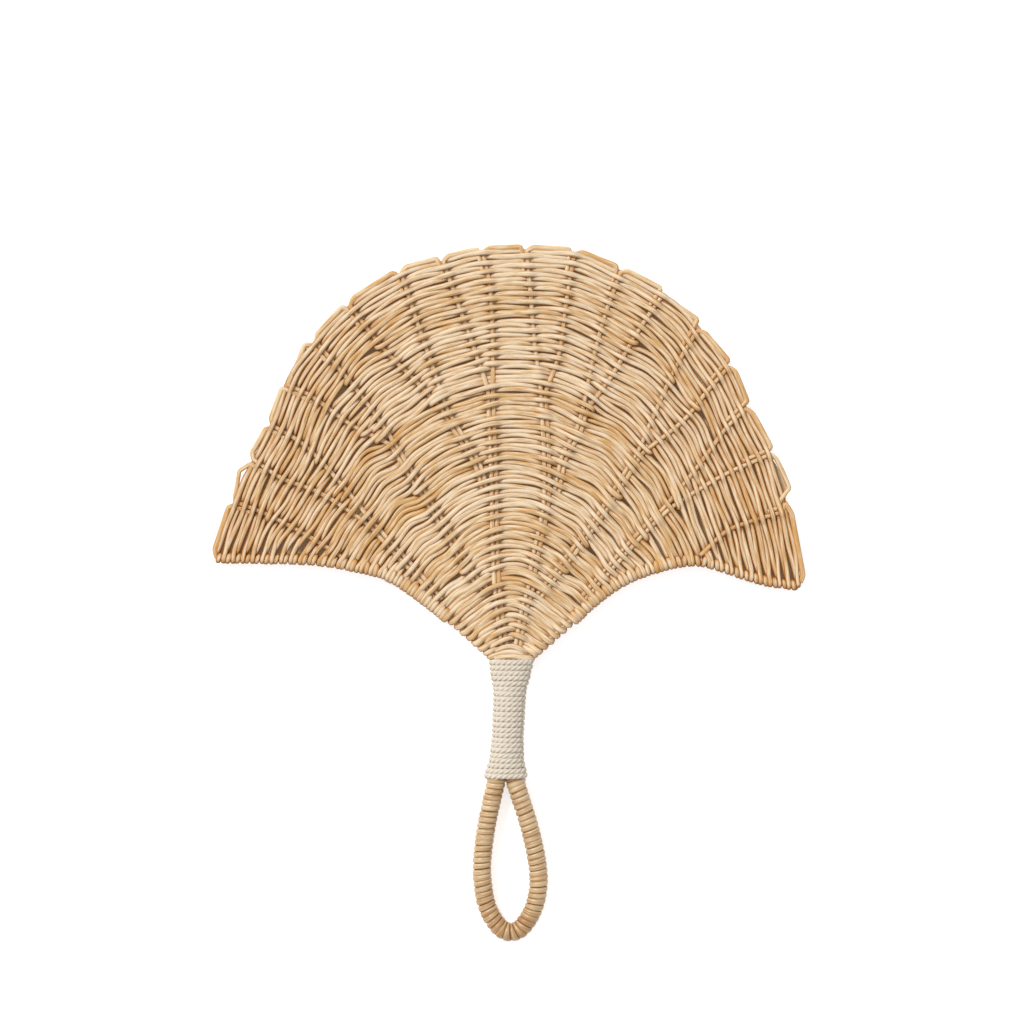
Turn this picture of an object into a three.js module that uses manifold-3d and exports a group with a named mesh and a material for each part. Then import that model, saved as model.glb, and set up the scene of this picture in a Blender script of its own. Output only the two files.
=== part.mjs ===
// A woven hand fan of round rattan reed, lying on its back: the blade points along +Y, the handle
// along -Y, and +Z is up. Lengths are in millimetres. Plan positions are measured from the throat,
// the middle of the line where the blade leaves the grip. At the end the fan is set down on z = 0
// with the middle of its plan over the origin.
import * as THREE from "three";
import * as BufferGeometryUtils from "three/addons/utils/BufferGeometryUtils.js";
import Module from "manifold-3d";

// Overall sizes
const bladeWidth = 340;
const bladeLength = 236.5;
const gripLength = 70;
const loopHalfWidth = 15.9;
const loopReach = 87.2;

// Reeds and the gaps between pieces
const stakeDiameter = 2.65;
const edgeRodDiameter = 2.65;
const weftThickness = 2.2;
const clearance = 0.3;
const weftGap = 0.7;

// Weave
const weftRuns = 24;
const firstRunHeight = 3.2;
const fanCentreDepth = 10;
const flatReach = 0.12;
const barRise = 2.2;

// Grip
const gripWaist = 17.6;
const shoulderLength = 32;
const flareLength = 20;
const gripLean = -3.2;
const coreWall = 1.1;
const coreDrop = 2;
const socketDepth = 12;
const edgeRodSocketDepth = socketDepth / 2;
const cordDiameter = 2.35;
const cordLoops = 24;

// Handle loop
const loopRodDiameter = 8.1;
const shavedDiameter = 5.2;
const peelThickness = 0.9;
const peelTurns = 24;
const peelGap = 0.75;
const loopLean = 3.2;

// Points on the blade are [x, y] in hundredths of its width and of its length

// Blade outline: the left tip, the notch of each stake from left to right, and the right tip
const outline = [
  [-50.4, 24.7], [-47.2, 38.5], [-44.1, 48.8], [-40.9, 57.1], [-38.2, 67], [-33.4, 77.6],
  [-27.6, 86.5], [-18.8, 94.5], [-11.6, 97.5], [-4.9, 99.6], [2.6, 100], [10.9, 99.2],
  [18.8, 94.7], [26, 89.2], [31.9, 80.3], [37.2, 71.2], [40.1, 61.3], [44.3, 49.9],
  [46.8, 38.5], [49.6, 17.8],
];

// Edge rods, from above the throat to the tips
const leftEdge = [
  [-3.4, 1.1], [-8.4, 7.6], [-13.1, 13.1], [-16.9, 17.3], [-21.3, 20.9], [-26.5, 22.8],
  [-32.5, 24.3], [-42.5, 24.7],
];
const rightEdge = [
  [3.5, 1.1], [9.4, 8.5], [15, 15.6], [19.6, 19.9], [24.7, 22.5], [28.2, 23.7], [31.8, 23.9],
  [35.6, 22.5], [39.4, 20.6], [44, 18.8], [49.2, 17.8],
];

// Pairs of stakes. Each starts in the grip, or beside another piece at a level of the weave, and
// lists the points that both stakes follow side by side, then each one's own points up to the rim.
const stakePairs = [
  {
    start: { beside: "left_edge", level: 0.25, side: -1 },
    shared: [[-16.3, 21.4], [-20.4, 27.7], [-24.6, 34.2]],
    left: [[-32.4, 40.4], [-38.8, 44]],
    right: [[-29.9, 44.4], [-35, 52]],
  },
  {
    start: { beside: "trunk_left", level: 0.2, side: 1 },
    shared: [[-6.6, 20.5], [-11.3, 32.1], [-16.3, 43.6], [-20.4, 53.1]],
    left: [[-27.2, 57.1], [-34, 64.1]],
    right: [[-25.6, 64.5]],
  },
  {
    start: { beside: "trunk_left", level: 0.44, side: 1 },
    shared: [[-5.6, 46.9], [-9.1, 55.4], [-11.9, 62.4]],
    left: [[-15.9, 67.2], [-21.5, 75.3]],
    right: [[-13.4, 71.5], [-16.5, 84.4]],
  },
  {
    start: { name: "trunk_left", gripSide: -1 },
    shared: [[-2.2, 14.4], [-2.6, 24.1], [-2.9, 43.6], [-3.5, 66]],
    left: [[-5.9, 74], [-8.8, 85.8]],
    right: [[-3.1, 77.4], [-3.7, 91.5]],
  },
  {
    start: { name: "trunk_right", gripSide: 1 },
    shared: [[2.4, 12.7], [3.4, 17.3], [3.8, 22.8], [5.9, 37.4], [6, 47.1], [5.4, 65.5]],
    left: [[4, 77.2], [3.2, 90.1]],
    right: [[8.1, 74], [9.4, 87.3]],
  },
  {
    start: { beside: "trunk_right", level: 0.44, side: -1 },
    shared: [[9.1, 49.5], [11.3, 55.2], [12.6, 61.1]],
    left: [[13.7, 71.5], [15.9, 83.5]],
    right: [[17.1, 68.9], [21.8, 80.3]],
  },
  {
    start: { beside: "trunk_right", level: 0.2, side: -1 },
    shared: [[9.1, 23.5], [14.6, 33.8], [18.4, 42.3], [22.4, 51.4]],
    left: [[24.4, 60], [28.4, 72.3]],
    right: [[29.1, 57.9], [33.7, 66]],
  },
  {
    start: { beside: "right_edge", level: 0.25, side: 1 },
    shared: [[17.9, 24.1], [22.2, 30.9], [27.6, 38.5]],
    left: [[32.4, 48.2], [36.5, 56.2]],
    right: [[35, 44], [40.6, 47.8]],
  },
];

// The single stakes next to the edge rods
const firstStake = { start: { beside: "left_edge", level: 0.54, side: -1 }, own: [[-32.9, 28.8], [-40.6, 34.7]] };
const lastStake = { start: { beside: "right_edge", level: 0.6, side: 1 }, own: [[37.1, 30.2], [42.1, 34.2]] };

// Centre line of the handle loop, from the first bend to the far end: hundredths of its half width
// and of its reach below the grip
const loopShape = [
  [78, 28.4], [96, 50], [100, 69], [87, 82.6], [58, 92.8], [31, 98.2], [0, 100],
].map(([half, distance]) => [(half / 100) * loopHalfWidth, (distance / 100) * loopReach]);

// Sizes that follow from the ones above
const stakeRadius = stakeDiameter / 2;
const edgeRodRadius = edgeRodDiameter / 2;
const stakePitch = stakeDiameter + clearance;
const notchInset = stakeRadius - barRise / 2;
const lift = Math.max(stakeRadius, edgeRodRadius) + clearance + weftThickness / 2;
const loopRodRadius = loopRodDiameter / 2;
const loopTubeRadius = loopRodRadius + clearance + peelThickness;
const shavedRadius = shavedDiameter / 2;
const legHalfSpacing = loopTubeRadius + clearance / 2;
const shavedHalfSpacing = shavedRadius + 2 * clearance;
const edgeRodOffset = 2 * stakePitch + clearance / 2 + edgeRodRadius;
const stakeSlotHalf = 2 * stakePitch - clearance / 2 + clearance;
const edgeRodSlotHalf = edgeRodOffset + edgeRodRadius + clearance;
const loopSlotHalf = legHalfSpacing + loopRodRadius + clearance;
const cordSpace = clearance + cordDiameter;
const gripTopHalf = edgeRodSlotHalf + coreWall + cordSpace;
const gripBottomHalf = loopSlotHalf + coreWall + cordSpace;
const gripEndThickness = loopRodRadius + clearance + coreWall + cordSpace;
const gripAxisHeight = Math.max(gripWaist / 2, gripEndThickness);
const rimHeight = lift + weftThickness / 2;
const loopEndHeight = loopTubeRadius;
const sampleStep = 3;
const ringSpacing = 5;

const wasm = await Module();
wasm.setup();

// Plan geometry

const plan = (x, y) => new THREE.Vector2(x, y);
const onBlade = ([x, y]) => [(x / 100) * bladeWidth, (y / 100) * bladeLength];
const leftOf = (direction) => plan(-direction.y, direction.x);

/** Points every few millimetres along a smooth curve through the given plan points. */
function smoothPlan(points, step = sampleStep) {
  const knots = points.map((p) => (Array.isArray(p) ? plan(...p) : p));
  const curve = new THREE.CatmullRomCurve3(
    knots.map((p) => new THREE.Vector3(p.x, p.y, 0)), false, "centripetal",
  );
  const count = Math.max(2, Math.ceil(curve.getLength() / step));
  return curve.getSpacedPoints(count).map((p) => plan(p.x, p.y));
}

/** Direction of travel along a list of plan points at one of them. */
function headingAt(points, i) {
  const before = points[Math.max(i - 1, 0)];
  const after = points[Math.min(i + 1, points.length - 1)];
  return after.clone().sub(before).normalize();
}

/** The same run of points, moved sideways to the left of its direction of travel. */
function shiftLeft(points, distance) {
  return points.map((p, i) => p.clone().addScaledVector(leftOf(headingAt(points, i)), distance));
}

/** Replaces each corner, marked by its index, with a short curve that starts `reach` before it. */
function roundCorner(points, index, reach, segments = 4) {
  const corner = points[index];
  const along = (to) => {
    const way = to.clone().sub(corner);
    return corner.clone().addScaledVector(way.normalize(), reach);
  };
  const from = along(points[index - 1]);
  const to = along(points[index + 1]);
  const bend = new THREE.QuadraticBezierCurve(from, corner, to).getPoints(segments);
  const keep = (p) => p.distanceTo(corner) > reach * 1.2;
  return [...points.slice(0, index).filter(keep), ...bend, ...points.slice(index + 1).filter(keep)];
}

// Levels of the weave: 0 at the fan's centre, inside the grip, and 1 at the outermost run

const outlineCurve = new THREE.CatmullRomCurve3(
  outline.map((p) => new THREE.Vector3(...onBlade(p), 0)), false, "centripetal",
);

/** Point on the blade's outline at a notch number, moved inwards by `inset`. */
function rimPoint(notch, inset) {
  const t = THREE.MathUtils.clamp(notch / (outline.length - 1), 0, 1);
  const p = outlineCurve.getPoint(t);
  const tangent = outlineCurve.getTangent(t);
  return plan(p.x + tangent.y * inset, p.y - tangent.x * inset);
}

const polar = (p) => ({
  angle: Math.atan2(p.x, p.y + fanCentreDepth),
  radius: Math.hypot(p.x, p.y + fanCentreDepth),
});
const weaveInset = stakeDiameter + weftGap - barRise / 2;
const rimSamples = [];
for (let i = 0; i <= 4 * (outline.length - 1); i++) {
  rimSamples.push(polar(rimPoint(i / 4, weaveInset)));
}

/** Radius of the outermost run's outer edge in a direction seen from the fan's centre. */
function rimRadius(angle) {
  const last = rimSamples.length - 1;
  if (angle <= rimSamples[0].angle) return rimSamples[0].radius;
  if (angle >= rimSamples[last].angle) return rimSamples[last].radius;
  const i = rimSamples.findIndex((s) => s.angle > angle);
  const [a, b] = [rimSamples[i - 1], rimSamples[i]];
  return THREE.MathUtils.mapLinear(angle, a.angle, b.angle, a.radius, b.radius);
}

const weaveRadius = rimRadius(0);
const firstLevel = (fanCentreDepth + firstRunHeight) / weaveRadius;

/** Distance from the fan's centre to a level. The lowest runs are flat, the outer ones like the rim. */
function levelRadius(angle, level) {
  const nearRim = (rimRadius(angle) / weaveRadius - 1) * level;
  const flatness = Math.max(0, 1 - Math.max(0, level - firstLevel) / flatReach) ** 2;
  const nearThroat = flatness * (1 / Math.cos(Math.min(Math.abs(angle), 1.1)) - 1);
  return weaveRadius * level * (1 + nearRim + nearThroat);
}

function onLevel(angle, level) {
  const radius = levelRadius(angle, level);
  return plan(radius * Math.sin(angle), radius * Math.cos(angle) - fanCentreDepth);
}

function levelOf(point) {
  const { angle, radius } = polar(point);
  let [low, high] = [0, 1.3];
  for (let i = 0; i < 30; i++) {
    const middle = (low + high) / 2;
    if (levelRadius(angle, middle) < radius) low = middle;
    else high = middle;
  }
  return low;
}

const runLevel = (i) => THREE.MathUtils.lerp(firstLevel, 1, i / weftRuns);
const nearestRun = (level) => Math.round(((level - firstLevel) / (1 - firstLevel)) * weftRuns);

/** Height of the blade's middle surface: it falls evenly from the grip's axis to the rim. */
function bladeHeight(level) {
  const share = THREE.MathUtils.clamp((level - firstLevel) / (1 - firstLevel), 0, 1);
  return THREE.MathUtils.lerp(gripAxisHeight, rimHeight, share);
}

/** Where a path from the throat outwards crosses a level, with its direction there. */
function crossing(points, level) {
  for (let i = 1; i < points.length; i++) {
    const before = levelOf(points[i - 1]);
    const after = levelOf(points[i]);
    if (before <= level && after > level) {
      const share = (level - before) / (after - before);
      const point = points[i - 1].clone().lerp(points[i], share);
      return { point, heading: headingAt(points, i), index: i };
    }
  }
  return null;
}

/** The part of a path that lies beyond a level. */
function beyond(points, level) {
  const cut = crossing(points, level);
  if (!cut) return points;
  return [cut.point, ...points.slice(cut.index).filter((p) => p.distanceTo(cut.point) > 0.5)];
}

// Solid geometry

/** A closed solid from a geometry: shared corners merged, and its faces turned outwards. */
function solid(geometry) {
  const bare = new THREE.BufferGeometry();
  const source = geometry.index ? geometry.toNonIndexed() : geometry;
  bare.setAttribute("position", source.getAttribute("position"));
  const merged = BufferGeometryUtils.mergeVertices(bare, 1e-3);
  const mesh = () => new wasm.Mesh({
    numProp: 3,
    vertProperties: new Float32Array(merged.attributes.position.array),
    triVerts: new Uint32Array(merged.index.array),
  });
  const made = new wasm.Manifold(mesh());
  if (made.volume() > 0) return made;
  const index = merged.index.array;
  for (let i = 0; i < index.length; i += 3) {
    [index[i + 1], index[i + 2]] = [index[i + 2], index[i + 1]];
  }
  return new wasm.Manifold(mesh());
}

function geometryOf(manifold) {
  const mesh = manifold.getMesh();
  const geometry = new THREE.BufferGeometry();
  const position = new THREE.BufferAttribute(new Float32Array(mesh.vertProperties), 3);
  geometry.setAttribute("position", position);
  geometry.setIndex(new THREE.BufferAttribute(new Uint32Array(mesh.triVerts), 1));
  geometry.computeVertexNormals();
  return geometry;
}

/** Skins a row of rings, each a list of as many corners, and closes both ends. */
function sweepRings(rings) {
  const sides = rings[0].length;
  const geometry = new THREE.BufferGeometry().setFromPoints(rings.flat());
  const index = [];
  for (let i = 0; i + 1 < rings.length; i++) {
    for (let j = 0; j < sides; j++) {
      const a = i * sides + j;
      const b = i * sides + ((j + 1) % sides);
      index.push(a, b, a + sides, b, b + sides, a + sides);
    }
  }
  const end = (rings.length - 1) * sides;
  for (let j = 1; j + 1 < sides; j++) {
    index.push(0, j + 1, j);
    index.push(end, end + j, end + j + 1);
  }
  geometry.setIndex(index);
  return geometryOf(solid(geometry));
}

/** A path through given points, which an extrusion follows with one step for each of them. */
class PointPath extends THREE.Curve {
  constructor(points) {
    super();
    this.points = points;
  }

  getPoint(t) {
    const place = t * (this.points.length - 1);
    const i = Math.min(Math.floor(place + 1e-6), this.points.length - 2);
    return this.points[i].clone().lerp(this.points[i + 1], place - i);
  }

  getPointAt(t) {
    return this.getPoint(t);
  }

  getTangentAt(t) {
    const i = Math.round(t * (this.points.length - 1));
    const before = this.points[Math.max(i - 1, 0)];
    const after = this.points[Math.min(i + 1, this.points.length - 1)];
    return after.clone().sub(before).normalize();
  }
}

/** Leaves out the points that a straight line between their neighbours passes within `tolerance`. */
function simplify(points, tolerance) {
  if (points.length < 3) return points;
  const [first, last] = [points[0], points.at(-1)];
  const line = new THREE.Line3(first, last);
  let [worst, distance] = [0, 0];
  points.forEach((p, i) => {
    const d = line.closestPointToPoint(p, true, new THREE.Vector3()).distanceTo(p);
    if (d > distance) [worst, distance] = [i, d];
  });
  if (distance < tolerance) return [first, last];
  const head = simplify(points.slice(0, worst + 1), tolerance);
  return [...head, ...simplify(points.slice(worst), tolerance).slice(1)];
}

/** A reed of round section, drawn with six sides, along plan points on the blade's surface. */
function reed(points, diameter, tolerance = 0.12) {
  const route = points.map((p) => new THREE.Vector3(p.x, p.y, bladeHeight(levelOf(p))));
  const path = new PointPath(simplify(route, tolerance));
  const section = new THREE.Shape();
  for (let i = 0; i < 6; i++) {
    const angle = (i * Math.PI) / 3 + Math.PI / 6;
    const corner = [(diameter / 2) * Math.cos(angle), (diameter / 2) * Math.sin(angle)];
    if (i === 0) section.moveTo(...corner);
    else section.lineTo(...corner);
  }
  const steps = path.points.length - 1;
  const geometry = new THREE.ExtrudeGeometry(section, { steps, extrudePath: path });
  return geometryOf(solid(geometry));
}

// Routes of the edge rods and stakes in plan

/** The grip's axis leans to one side: its x at a height y below the throat. */
const gripAxisX = (y) => (gripLean * Math.min(y, 0)) / -gripLength;

/** A straight length inside the grip, `offset` to the side of its axis and `depth` into the core. */
function inGrip(offset, depth) {
  const end = -coreDrop - depth + clearance;
  return [[gripAxisX(end) + offset, end], [gripAxisX(-coreDrop) + offset, -coreDrop]];
}

const leftTip = rimPoint(0, stakeRadius);
const routes = new Map();
routes.set("left_edge", smoothPlan([
  ...inGrip(-edgeRodOffset, edgeRodSocketDepth), ...leftEdge.map(onBlade), leftTip,
]));
routes.set("right_edge", smoothPlan([
  ...inGrip(edgeRodOffset, edgeRodSocketDepth), ...rightEdge.map(onBlade),
]));

/** Where a route starts: in the grip, or beside the piece that it is pushed in next to. */
function startOf(start, breadth) {
  if (start.gripSide) return inGrip(start.gripSide * stakePitch, socketDepth);
  const host = routes.get(start.beside);
  const isRod = start.beside.endsWith("edge");
  const hostHalf = isRod ? edgeRodRadius : stakePitch / 2 + stakeRadius;
  const apart = hostHalf + clearance + stakeRadius + breadth;
  const { point, heading } = crossing(host, runLevel(nearestRun(start.level)));
  return [point.clone().addScaledVector(leftOf(heading), apart * start.side)];
}

/** Drops what lies below the run where a stake was pushed in. */
function trimStart(points, start) {
  return start.gripSide ? points : beyond(points, runLevel(nearestRun(start.level)));
}

const stakeRoutes = [];

function addPair(pair) {
  const middle = smoothPlan([...startOf(pair.start, stakePitch / 2), ...pair.shared.map(onBlade)]);
  if (pair.start.name) routes.set(pair.start.name, middle);
  return [[pair.left, 0.5], [pair.right, -0.5]].map(([own, side]) => {
    const notch = stakePairs.indexOf(pair) * 2 + (side > 0 ? 2 : 3);
    const shared = shiftLeft(middle, side * stakePitch);
    const full = smoothPlan([...shared, ...own.map(onBlade), rimPoint(notch, notchInset)]);
    return trimStart(full, pair.start);
  });
}

function singleStake(stake, notch) {
  const own = stake.own.map(onBlade);
  const full = smoothPlan([...startOf(stake.start, 0), ...own, rimPoint(notch, notchInset)]);
  return trimStart(full, stake.start);
}

const trunks = stakePairs.filter((pair) => pair.start.name);
const laidIn = stakePairs.filter((pair) => !pair.start.name);
const pairRoutes = new Map([...trunks, ...laidIn].map((pair) => [pair, addPair(pair)]));
stakeRoutes.push(singleStake(firstStake, 1));
stakePairs.forEach((pair) => stakeRoutes.push(...pairRoutes.get(pair)));
stakeRoutes.push(singleStake(lastStake, outline.length - 2));

// The border: each reed bends over at its own notch, follows the rim to the next notch, and is
// tucked in on the left of the stake there

const barEnds = [0.3, 0.7];
const bendReach = 4;
const cornerReach = 2.6;
const tuckLevel = runLevel(weftRuns - 1);

/** The tucked end beside a stake, from the rim inwards. */
function tuckBeside(route) {
  const side = shiftLeft(route, stakePitch);
  const inner = beyond(side, tuckLevel);
  return inner.reverse();
}

function withBorder(route, notch) {
  const bar = barEnds.map((share) => rimPoint(notch + share, stakeRadius - barRise));
  const atNotch = route.length - 1;
  const next = stakeRoutes[notch];
  const tuck = next ? tuckBeside(next) : [endOfLastBar()];
  let points = [...route, ...bar, ...tuck];
  if (next) points = roundCorner(points, route.length + bar.length, cornerReach);
  return roundCorner(points, atNotch, bendReach);
}

/** The last bar runs down to the right edge rod and ends against it. */
function endOfLastBar() {
  const tip = routes.get("right_edge").at(-1);
  const down = rimPoint(outline.length - 1, stakeRadius);
  return plan(down.x, tip.y + edgeRodRadius + clearance + stakeRadius / 2);
}

// Weft runs: flat bands woven over and under, with their ends rolled round the edge rods

const apartFromNext = 2.4 * stakeDiameter;
const halfLane = weftGap / 2 / weaveRadius;
const rollReach = lift + clearance;
const rollTurn = 0.75 * Math.PI;
const rollSteps = 3;
const crossingHalf = 0.9 * stakeRadius;
const leastSlant = 0.5;
const cornerCut = 0.45 * weftGap;

/** Angle at which a path crosses a level, and how far its reed reaches along the run there. */
function angleAt(route, level) {
  const hit = crossing(route, level) ?? edgeOfRoute(route, level);
  const angle = polar(hit.point).angle;
  const step = 0.01;
  const along = onLevel(angle + step, level).sub(onLevel(angle - step, level));
  const millimetres = along.length() / (2 * step);
  const slant = Math.abs(along.normalize().cross(hit.heading));
  const half = crossingHalf / Math.max(slant, leastSlant);
  return { angle, half: half / millimetres, point: hit.point, heading: hit.heading, millimetres };
}

/** The nearer end of a route that stops short of a level. */
function edgeOfRoute(route, level) {
  const i = levelOf(route[0]) > level ? 0 : route.length - 1;
  return { point: route[i], heading: headingAt(route, i) };
}

/** The stakes that a run crosses, gathered into the groups that it passes over or under as one. */
function groupsOf(run) {
  const [low, high] = [runLevel(run) + halfLane, runLevel(run + 1) - halfLane];
  const middle = (low + high) / 2;
  const present = stakeRoutes.filter((route) => levelOf(route[0]) < middle);
  const marks = present.map((route) => {
    const mark = { low: angleAt(route, low), high: angleAt(route, high) };
    const tucked = run === weftRuns - 1 ? stakePitch : 0;
    mark.left = tucked;
    return mark;
  });
  const groups = [];
  for (const mark of marks) {
    const last = groups.at(-1);
    const gap = last ? (mark.low.angle - last.at(-1).low.angle) * mark.low.millimetres : Infinity;
    const gapHigh = last ? (mark.high.angle - last.at(-1).high.angle) * mark.high.millimetres : Infinity;
    if (Math.min(gap, gapHigh) - mark.left < apartFromNext) last.push(mark);
    else groups.push([mark]);
  }
  return { low, high, groups };
}

/** Four corners of a band across its width at a place on the lower and on the upper lane edge. */
function bandRing(lower, upper, height, tilt = new THREE.Vector3(0, 0, 1)) {
  const half = tilt.clone().multiplyScalar(weftThickness / 2);
  const low = new THREE.Vector3(lower.x, lower.y, height);
  const high = new THREE.Vector3(upper.x, upper.y, height);
  return [
    low.clone().add(half), high.clone().add(half), high.clone().sub(half), low.clone().sub(half),
  ];
}

/** The rolled end of a band round an edge rod, from underneath or above it to over its middle. */
function rolledEnd(rod, low, high, height, side, over) {
  const ends = [low, high].map((level) => crossing(rod, level));
  const rings = [];
  for (let i = rollSteps; i >= 0; i--) {
    const turn = (i * rollTurn) / rollSteps;
    const corners = ends.map(({ point, heading }) => {
      const outwards = leftOf(heading).multiplyScalar(-side);
      const place = point.clone().addScaledVector(outwards, rollReach * Math.sin(turn));
      const tilt = new THREE.Vector3(outwards.x, outwards.y, 0).multiplyScalar(over * Math.sin(turn));
      tilt.z = Math.cos(turn);
      return bandRing(place, place, height + over * lift * Math.cos(turn), tilt);
    });
    rings.push([corners[0][0], corners[1][0], corners[1][2], corners[0][2]]);
  }
  return rings;
}

function weftBand(run) {
  const { low, high, groups } = groupsOf(run);
  const height = bladeHeight((low + high) / 2);
  let over = run % 2 === 0 ? 1 : -1;
  const stations = [];
  const station = (lowAngle, highAngle, z) => stations.push({ lowAngle, highAngle, z });
  const leftRoll = rolledEnd(routes.get("left_edge"), low, high, height, -1, over);
  const leftRod = [low, high].map((level) => angleAt(routes.get("left_edge"), level));
  station(leftRod[0].angle + leftRod[0].half, leftRod[1].angle + leftRod[1].half, over * lift);
  for (const group of groups) {
    over = -over;
    const [first, last] = [group[0], group.at(-1)];
    const lowLeft = first.low.angle - first.low.half - first.left / first.low.millimetres;
    const highLeft = first.high.angle - first.high.half - first.left / first.high.millimetres;
    station(lowLeft, highLeft, over * lift);
    station(last.low.angle + last.low.half, last.high.angle + last.high.half, over * lift);
  }
  over = -over;
  const rightRod = [low, high].map((level) => angleAt(routes.get("right_edge"), level));
  station(rightRod[0].angle - rightRod[0].half, rightRod[1].angle - rightRod[1].half, over * lift);
  const rightRoll = rolledEnd(routes.get("right_edge"), low, high, height, 1, over).reverse();

  const rings = [...leftRoll];
  const radius = weaveRadius * high;
  const longest = Math.sqrt(8 * radius * cornerCut);
  stations.forEach((here, i) => {
    const before = stations[i - 1];
    const span = before ? (here.highAngle - before.highAngle) * radius : 0;
    const pieces = Math.max(1, Math.ceil(span / longest));
    for (let piece = 1; piece < pieces; piece++) {
      const share = piece / pieces;
      const wave = (1 - Math.cos(Math.PI * share)) / 2;
      const lower = onLevel(THREE.MathUtils.lerp(before.lowAngle, here.lowAngle, share), low);
      const upper = onLevel(THREE.MathUtils.lerp(before.highAngle, here.highAngle, share), high);
      rings.push(bandRing(lower, upper, height + THREE.MathUtils.lerp(before.z, here.z, wave)));
    }
    rings.push(bandRing(onLevel(here.lowAngle, low), onLevel(here.highAngle, high), height + here.z));
  });
  rings.push(...rightRoll);
  return sweepRings(rings);
}

// Grip: the bound core, and the cotton cord wound round it

const gripSides = 12;

/** Outer half width and half thickness of the wound grip at a height y below the throat. */
function gripHalf(y) {
  const shoulder = THREE.MathUtils.smoothstep(y, -shoulderLength, 0);
  const flare = 1 - THREE.MathUtils.smoothstep(y, -gripLength, -gripLength + flareLength);
  const waist = gripWaist / 2;
  const wide = waist + (gripTopHalf - waist) * shoulder + (gripBottomHalf - waist) * flare;
  const thick = waist + (gripEndThickness - waist) * (shoulder + flare);
  return { wide, thick };
}

/** Point on an oval round the grip's axis, `inset` inside the outer surface. */
function gripPoint(y, angle, inset) {
  const { wide, thick } = gripHalf(y);
  return new THREE.Vector3(
    gripAxisX(y) + (wide - inset) * Math.cos(angle),
    y,
    gripAxisHeight + (thick - inset) * Math.sin(angle),
  );
}

/** A slot on the grip's axis, through places given as { y, wide, thick } with both half sizes. */
function slotSolid(places) {
  const rings = places.map(({ y, wide, thick }) => {
    return [[-1, -1], [1, -1], [1, 1], [-1, 1]].map(([x, z]) => {
      return new THREE.Vector3(gripAxisX(y) + x * wide, y, gripAxisHeight + z * thick);
    });
  });
  return solid(sweepRings(rings));
}

function gripCore() {
  const stations = Math.round(gripLength / ringSpacing);
  const rings = [];
  for (let i = 0; i <= stations; i++) {
    const y = THREE.MathUtils.lerp(-coreDrop, -gripLength + coreDrop, i / stations);
    const ring = [];
    for (let j = 0; j < gripSides; j++) {
      ring.push(gripPoint(y, (j * 2 * Math.PI) / gripSides, cordSpace));
    }
    rings.push(ring);
  }
  const stakeHalf = stakeRadius + clearance;
  const rodHalf = edgeRodRadius + clearance;
  const stakeSlot = slotSolid([
    { y: 0, wide: stakeSlotHalf, thick: stakeHalf },
    { y: -coreDrop - socketDepth, wide: stakeSlotHalf, thick: stakeHalf },
  ]);
  const rodSlot = slotSolid([
    { y: 0, wide: edgeRodSlotHalf, thick: rodHalf },
    { y: -coreDrop - edgeRodSocketDepth, wide: edgeRodSlotHalf, thick: rodHalf },
  ]);
  const loopHalf = loopRodRadius + clearance;
  const shavedHalf = shavedRadius + clearance;
  const loopSlot = slotSolid([
    { y: -gripLength, wide: loopSlotHalf, thick: loopHalf },
    { y: -gripLength + coreDrop, wide: loopSlotHalf, thick: loopHalf },
    {
      y: -gripLength + coreDrop + socketDepth,
      wide: shavedHalfSpacing + shavedHalf,
      thick: shavedHalf,
    },
  ]);
  const core = solid(sweepRings(rings)).subtract(stakeSlot).subtract(rodSlot).subtract(loopSlot);
  return geometryOf(core);
}

/** Rings of a round tube of given sides along points, with a straight end one diameter long. */
function tubeRings(points, diameter, sides) {
  const first = points[0].clone().sub(points[1]).setLength(diameter).add(points[0]);
  const final = points.at(-1).clone().sub(points.at(-2)).setLength(diameter).add(points.at(-1));
  const path = new PointPath([first, ...points, final]);
  const steps = path.points.length - 1;
  return path.points.map((p, i) => {
    const tangent = path.getTangentAt(i / steps);
    const outwards = new THREE.Vector3(p.x - gripAxisX(p.y), 0, p.z - gripAxisHeight).normalize();
    const across = new THREE.Vector3().crossVectors(tangent, outwards).normalize();
    const radial = new THREE.Vector3().crossVectors(across, tangent);
    const ring = [];
    for (let j = 0; j < sides; j++) {
      const angle = ((j + 0.5) * 2 * Math.PI) / sides;
      ring.push(p.clone()
        .addScaledVector(radial, (diameter / 2) * Math.cos(angle))
        .addScaledVector(across, (diameter / 2) * Math.sin(angle)));
    }
    return ring;
  });
}

/** Least gap of a winding to itself, between points more than half a loop apart. */
function leastGap(points, thickness, stepsPerLoop) {
  let least = Infinity;
  points.forEach((a, i) => {
    for (let j = i + Math.ceil(stepsPerLoop / 2); j < Math.min(points.length, i + 2 * stepsPerLoop); j++) {
      least = Math.min(least, a.distanceTo(points[j]) - thickness);
    }
  });
  return least;
}

function gripCord() {
  const turns = cordLoops * gripSides;
  const radius = cordDiameter / 2;
  const points = [];
  for (let i = 0; i <= turns; i++) {
    const y = THREE.MathUtils.lerp(-radius, -gripLength + radius, i / turns);
    points.push(gripPoint(y, (i * 2 * Math.PI) / gripSides, radius));
  }
  console.log("grip cord: least gap to itself", leastGap(points, cordDiameter, gripSides).toFixed(2), "mm");
  return sweepRings(tubeRings(points, cordDiameter, 5));
}

// Handle loop: a bent cane with rattan peel wound round it

const loopSides = 10;
const legHidden = coreDrop + socketDepth - 3 * clearance;

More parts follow.
